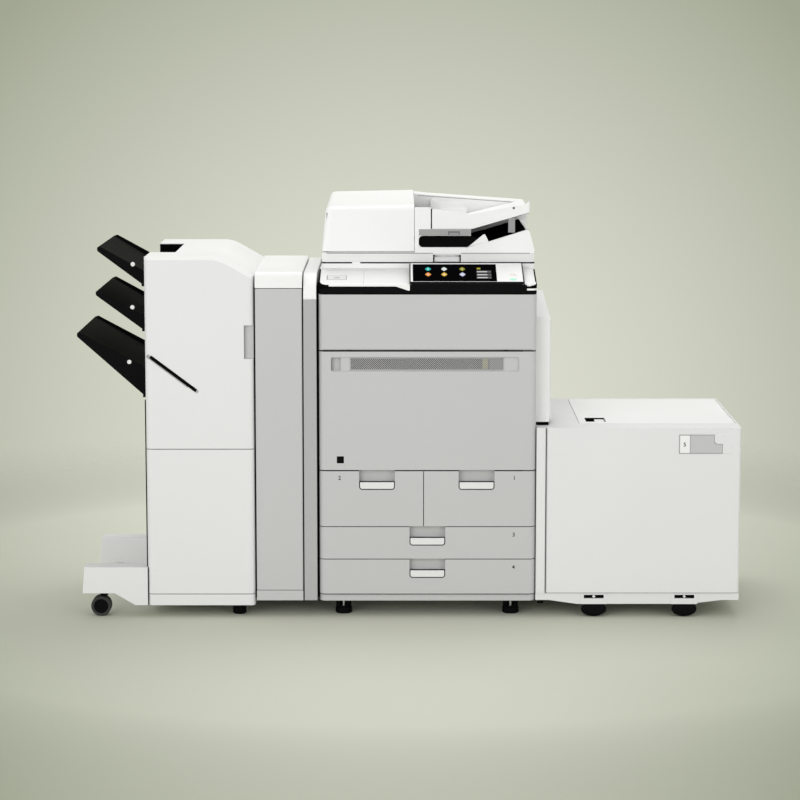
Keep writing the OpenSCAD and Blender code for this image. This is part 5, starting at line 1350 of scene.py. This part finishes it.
# World strength, and the lamps: name, place, target, side of the square in metres, power in watts
WORLD_LIGHT = 0.80
LAMPS = (
    ("key", (-3.0, -5.8, 1.8), (0, 0, 0.45), 4.0, 122),
    ("top", (0.2, 1.5, 4.4), (0, 0, 0.8), 3.0, 78),
    ("fill", (3.8, -4.8, 1.3), (0, 0, 0.4), 3.0, 48),
)


def vignette(b, direction):
    """Background colour in a direction from the camera: palest in the middle, darker to the rim, a painted
    light falloff.
    """
    right = b.dot(direction, X)
    ahead = b.dot(direction, (0, math.cos(PITCH), -math.sin(PITCH)))
    rise = b.dot(direction, (0, math.sin(PITCH), math.cos(PITCH)))
    depth = ahead.math("MAXIMUM", 0.05)
    u, v = right / depth * FOCAL_PX, rise / depth * FOCAL_PX + RIM_LOWERED
    radius = (u * u + v * v) ** 0.5
    share = (((radius - RIM_START) / RIM_REACH).clamped()) ** RIM_POWER
    return b.mix(share, colours().backdrop, colours().backdrop_edge)


class PRINTER_OT_studio(bpy.types.Operator):
    """Floor, world, lamps and camera"""

    bl_idname = "printer.studio"
    bl_label = "Studio"

    def execute(self, context):
        scene = context.scene
        self.camera(scene)
        self.floor()
        self.world(scene)
        self.lamps()
        scene.view_settings.view_transform = "Standard"
        return {"FINISHED"}

    def camera(self, scene):
        data = bpy.data.cameras.new("camera")
        data.sensor_width = SENSOR
        data.lens = FOCAL_PX * SENSOR / PIXELS
        data.clip_start, data.clip_end = 0.1, 200
        made = linked("camera", data)
        made.location = CAMERA_AT
        made.rotation_euler = (math.pi / 2 - PITCH, 0, 0)
        scene.camera = made

    def floor(self):
        shape = Shape().lathe([(0, -2), (40000, -2), (40000, 0), (0, 0)], Matrix(), 96)
        made = linked("floor", shape.mesh("floor"))
        b = new_build("floor")
        place = b.place()
        sight = b.node("ShaderNodeVectorMath", {"operation": "SUBTRACT"}, {0: place, 1: CAMERA_AT})
        # Floor paint: faint mottle, with the backdrop's painted light falloff on it
        floor_mottle_and_falloff = b.mix(b.noise(place, 2.0) * 0.02 + 0.07, vignette(b, sight), (0, 0, 0))
        px, py = b.axes(place)[:2]
        reach = (px * px + py * py) ** 0.5
        fade = ((reach - FADE_START) / FADE_REACH).clamped()
        paint = b.node("ShaderNodeBsdfDiffuse", {}, {"Color": floor_mottle_and_falloff})
        clear = b.node("ShaderNodeBsdfTransparent", {}, {})
        surface = b.node("ShaderNodeMixShader", {}, {0: fade, 1: paint, 2: clear})
        b.node("ShaderNodeOutputMaterial", {}, {"Surface": surface})
        made.data.materials.append(b.owner)

    def world(self, scene):
        scene.world = bpy.data.worlds.new("studio")
        b = Build(scene.world)
        sight = b.node("ShaderNodeTexCoord", {}, {}, "Generated")
        rays = b.node("ShaderNodeLightPath", {}, {}, "Is Camera Ray")
        path = rays.socket.node.outputs
        seen = (rays + Value(b, path["Is Glossy Ray"]) + Value(b, path["Is Transmission Ray"])).clamped()
        light = b.node("ShaderNodeBackground", {}, {"Color": rgba((1, 1, 1)), "Strength": WORLD_LIGHT})
        backdrop = b.node("ShaderNodeBackground", {}, {"Color": vignette(b, sight), "Strength": 1.0})
        mixed = b.node("ShaderNodeMixShader", {}, {0: seen, 1: light, 2: backdrop})
        b.node("ShaderNodeOutputWorld", {}, {"Surface": mixed})

    def lamps(self):
        for name, place, target, size, power in LAMPS:
            data = bpy.data.lights.new(name, "AREA")
            data.shape, data.size, data.energy = "SQUARE", size, power
            made = linked(name, data)
            made.location = place
            made.rotation_euler = (Vector(target) - Vector(place)).to_track_quat("-Z", "Y").to_euler()


# Add-on

OPERATORS = (
    PRINTER_OT_covers, PRINTER_OT_seals, PRINTER_OT_grille, PRINTER_OT_marks, PRINTER_OT_screws,
    PRINTER_OT_wheels, PRINTER_OT_fittings, PRINTER_OT_cad_finishes, PRINTER_OT_studio,
)


class PRINTER_PT_pieces(bpy.types.Panel):
    """Lists the printer's pieces and the stage"""

    bl_idname = "PRINTER_PT_pieces"
    bl_label = "Production printer"
    bl_space_type = "VIEW_3D"
    bl_region_type = "UI"
    bl_category = "Printer"

    def draw(self, context):
        for group in (context.scene.printer_sizes, context.scene.printer_colours):
            for key in group.bl_rna.properties.keys():
                if key not in ("rna_type", "name"):
                    self.layout.prop(group, key)
        for operator in OPERATORS:
            self.layout.operator(operator.bl_idname)


CLASSES = (PrinterSizes, PrinterColours, *OPERATORS, PRINTER_PT_pieces)


def register():
    for made in CLASSES:
        bpy.utils.register_class(made)
    bpy.types.Scene.printer_sizes = PointerProperty(type=PrinterSizes)
    bpy.types.Scene.printer_colours = PointerProperty(type=PrinterColours)


def unregister():
    del bpy.types.Scene.printer_colours
    del bpy.types.Scene.printer_sizes
    for made in reversed(CLASSES):
        bpy.utils.unregister_class(made)


def main():
    """Registers the add-on, then builds every piece and the stage, in order."""
    register()
    for operator in OPERATORS:
        family, name = operator.bl_idname.split(".")
        getattr(getattr(bpy.ops, family), name)()


if __name__ == "__main__":
    main()
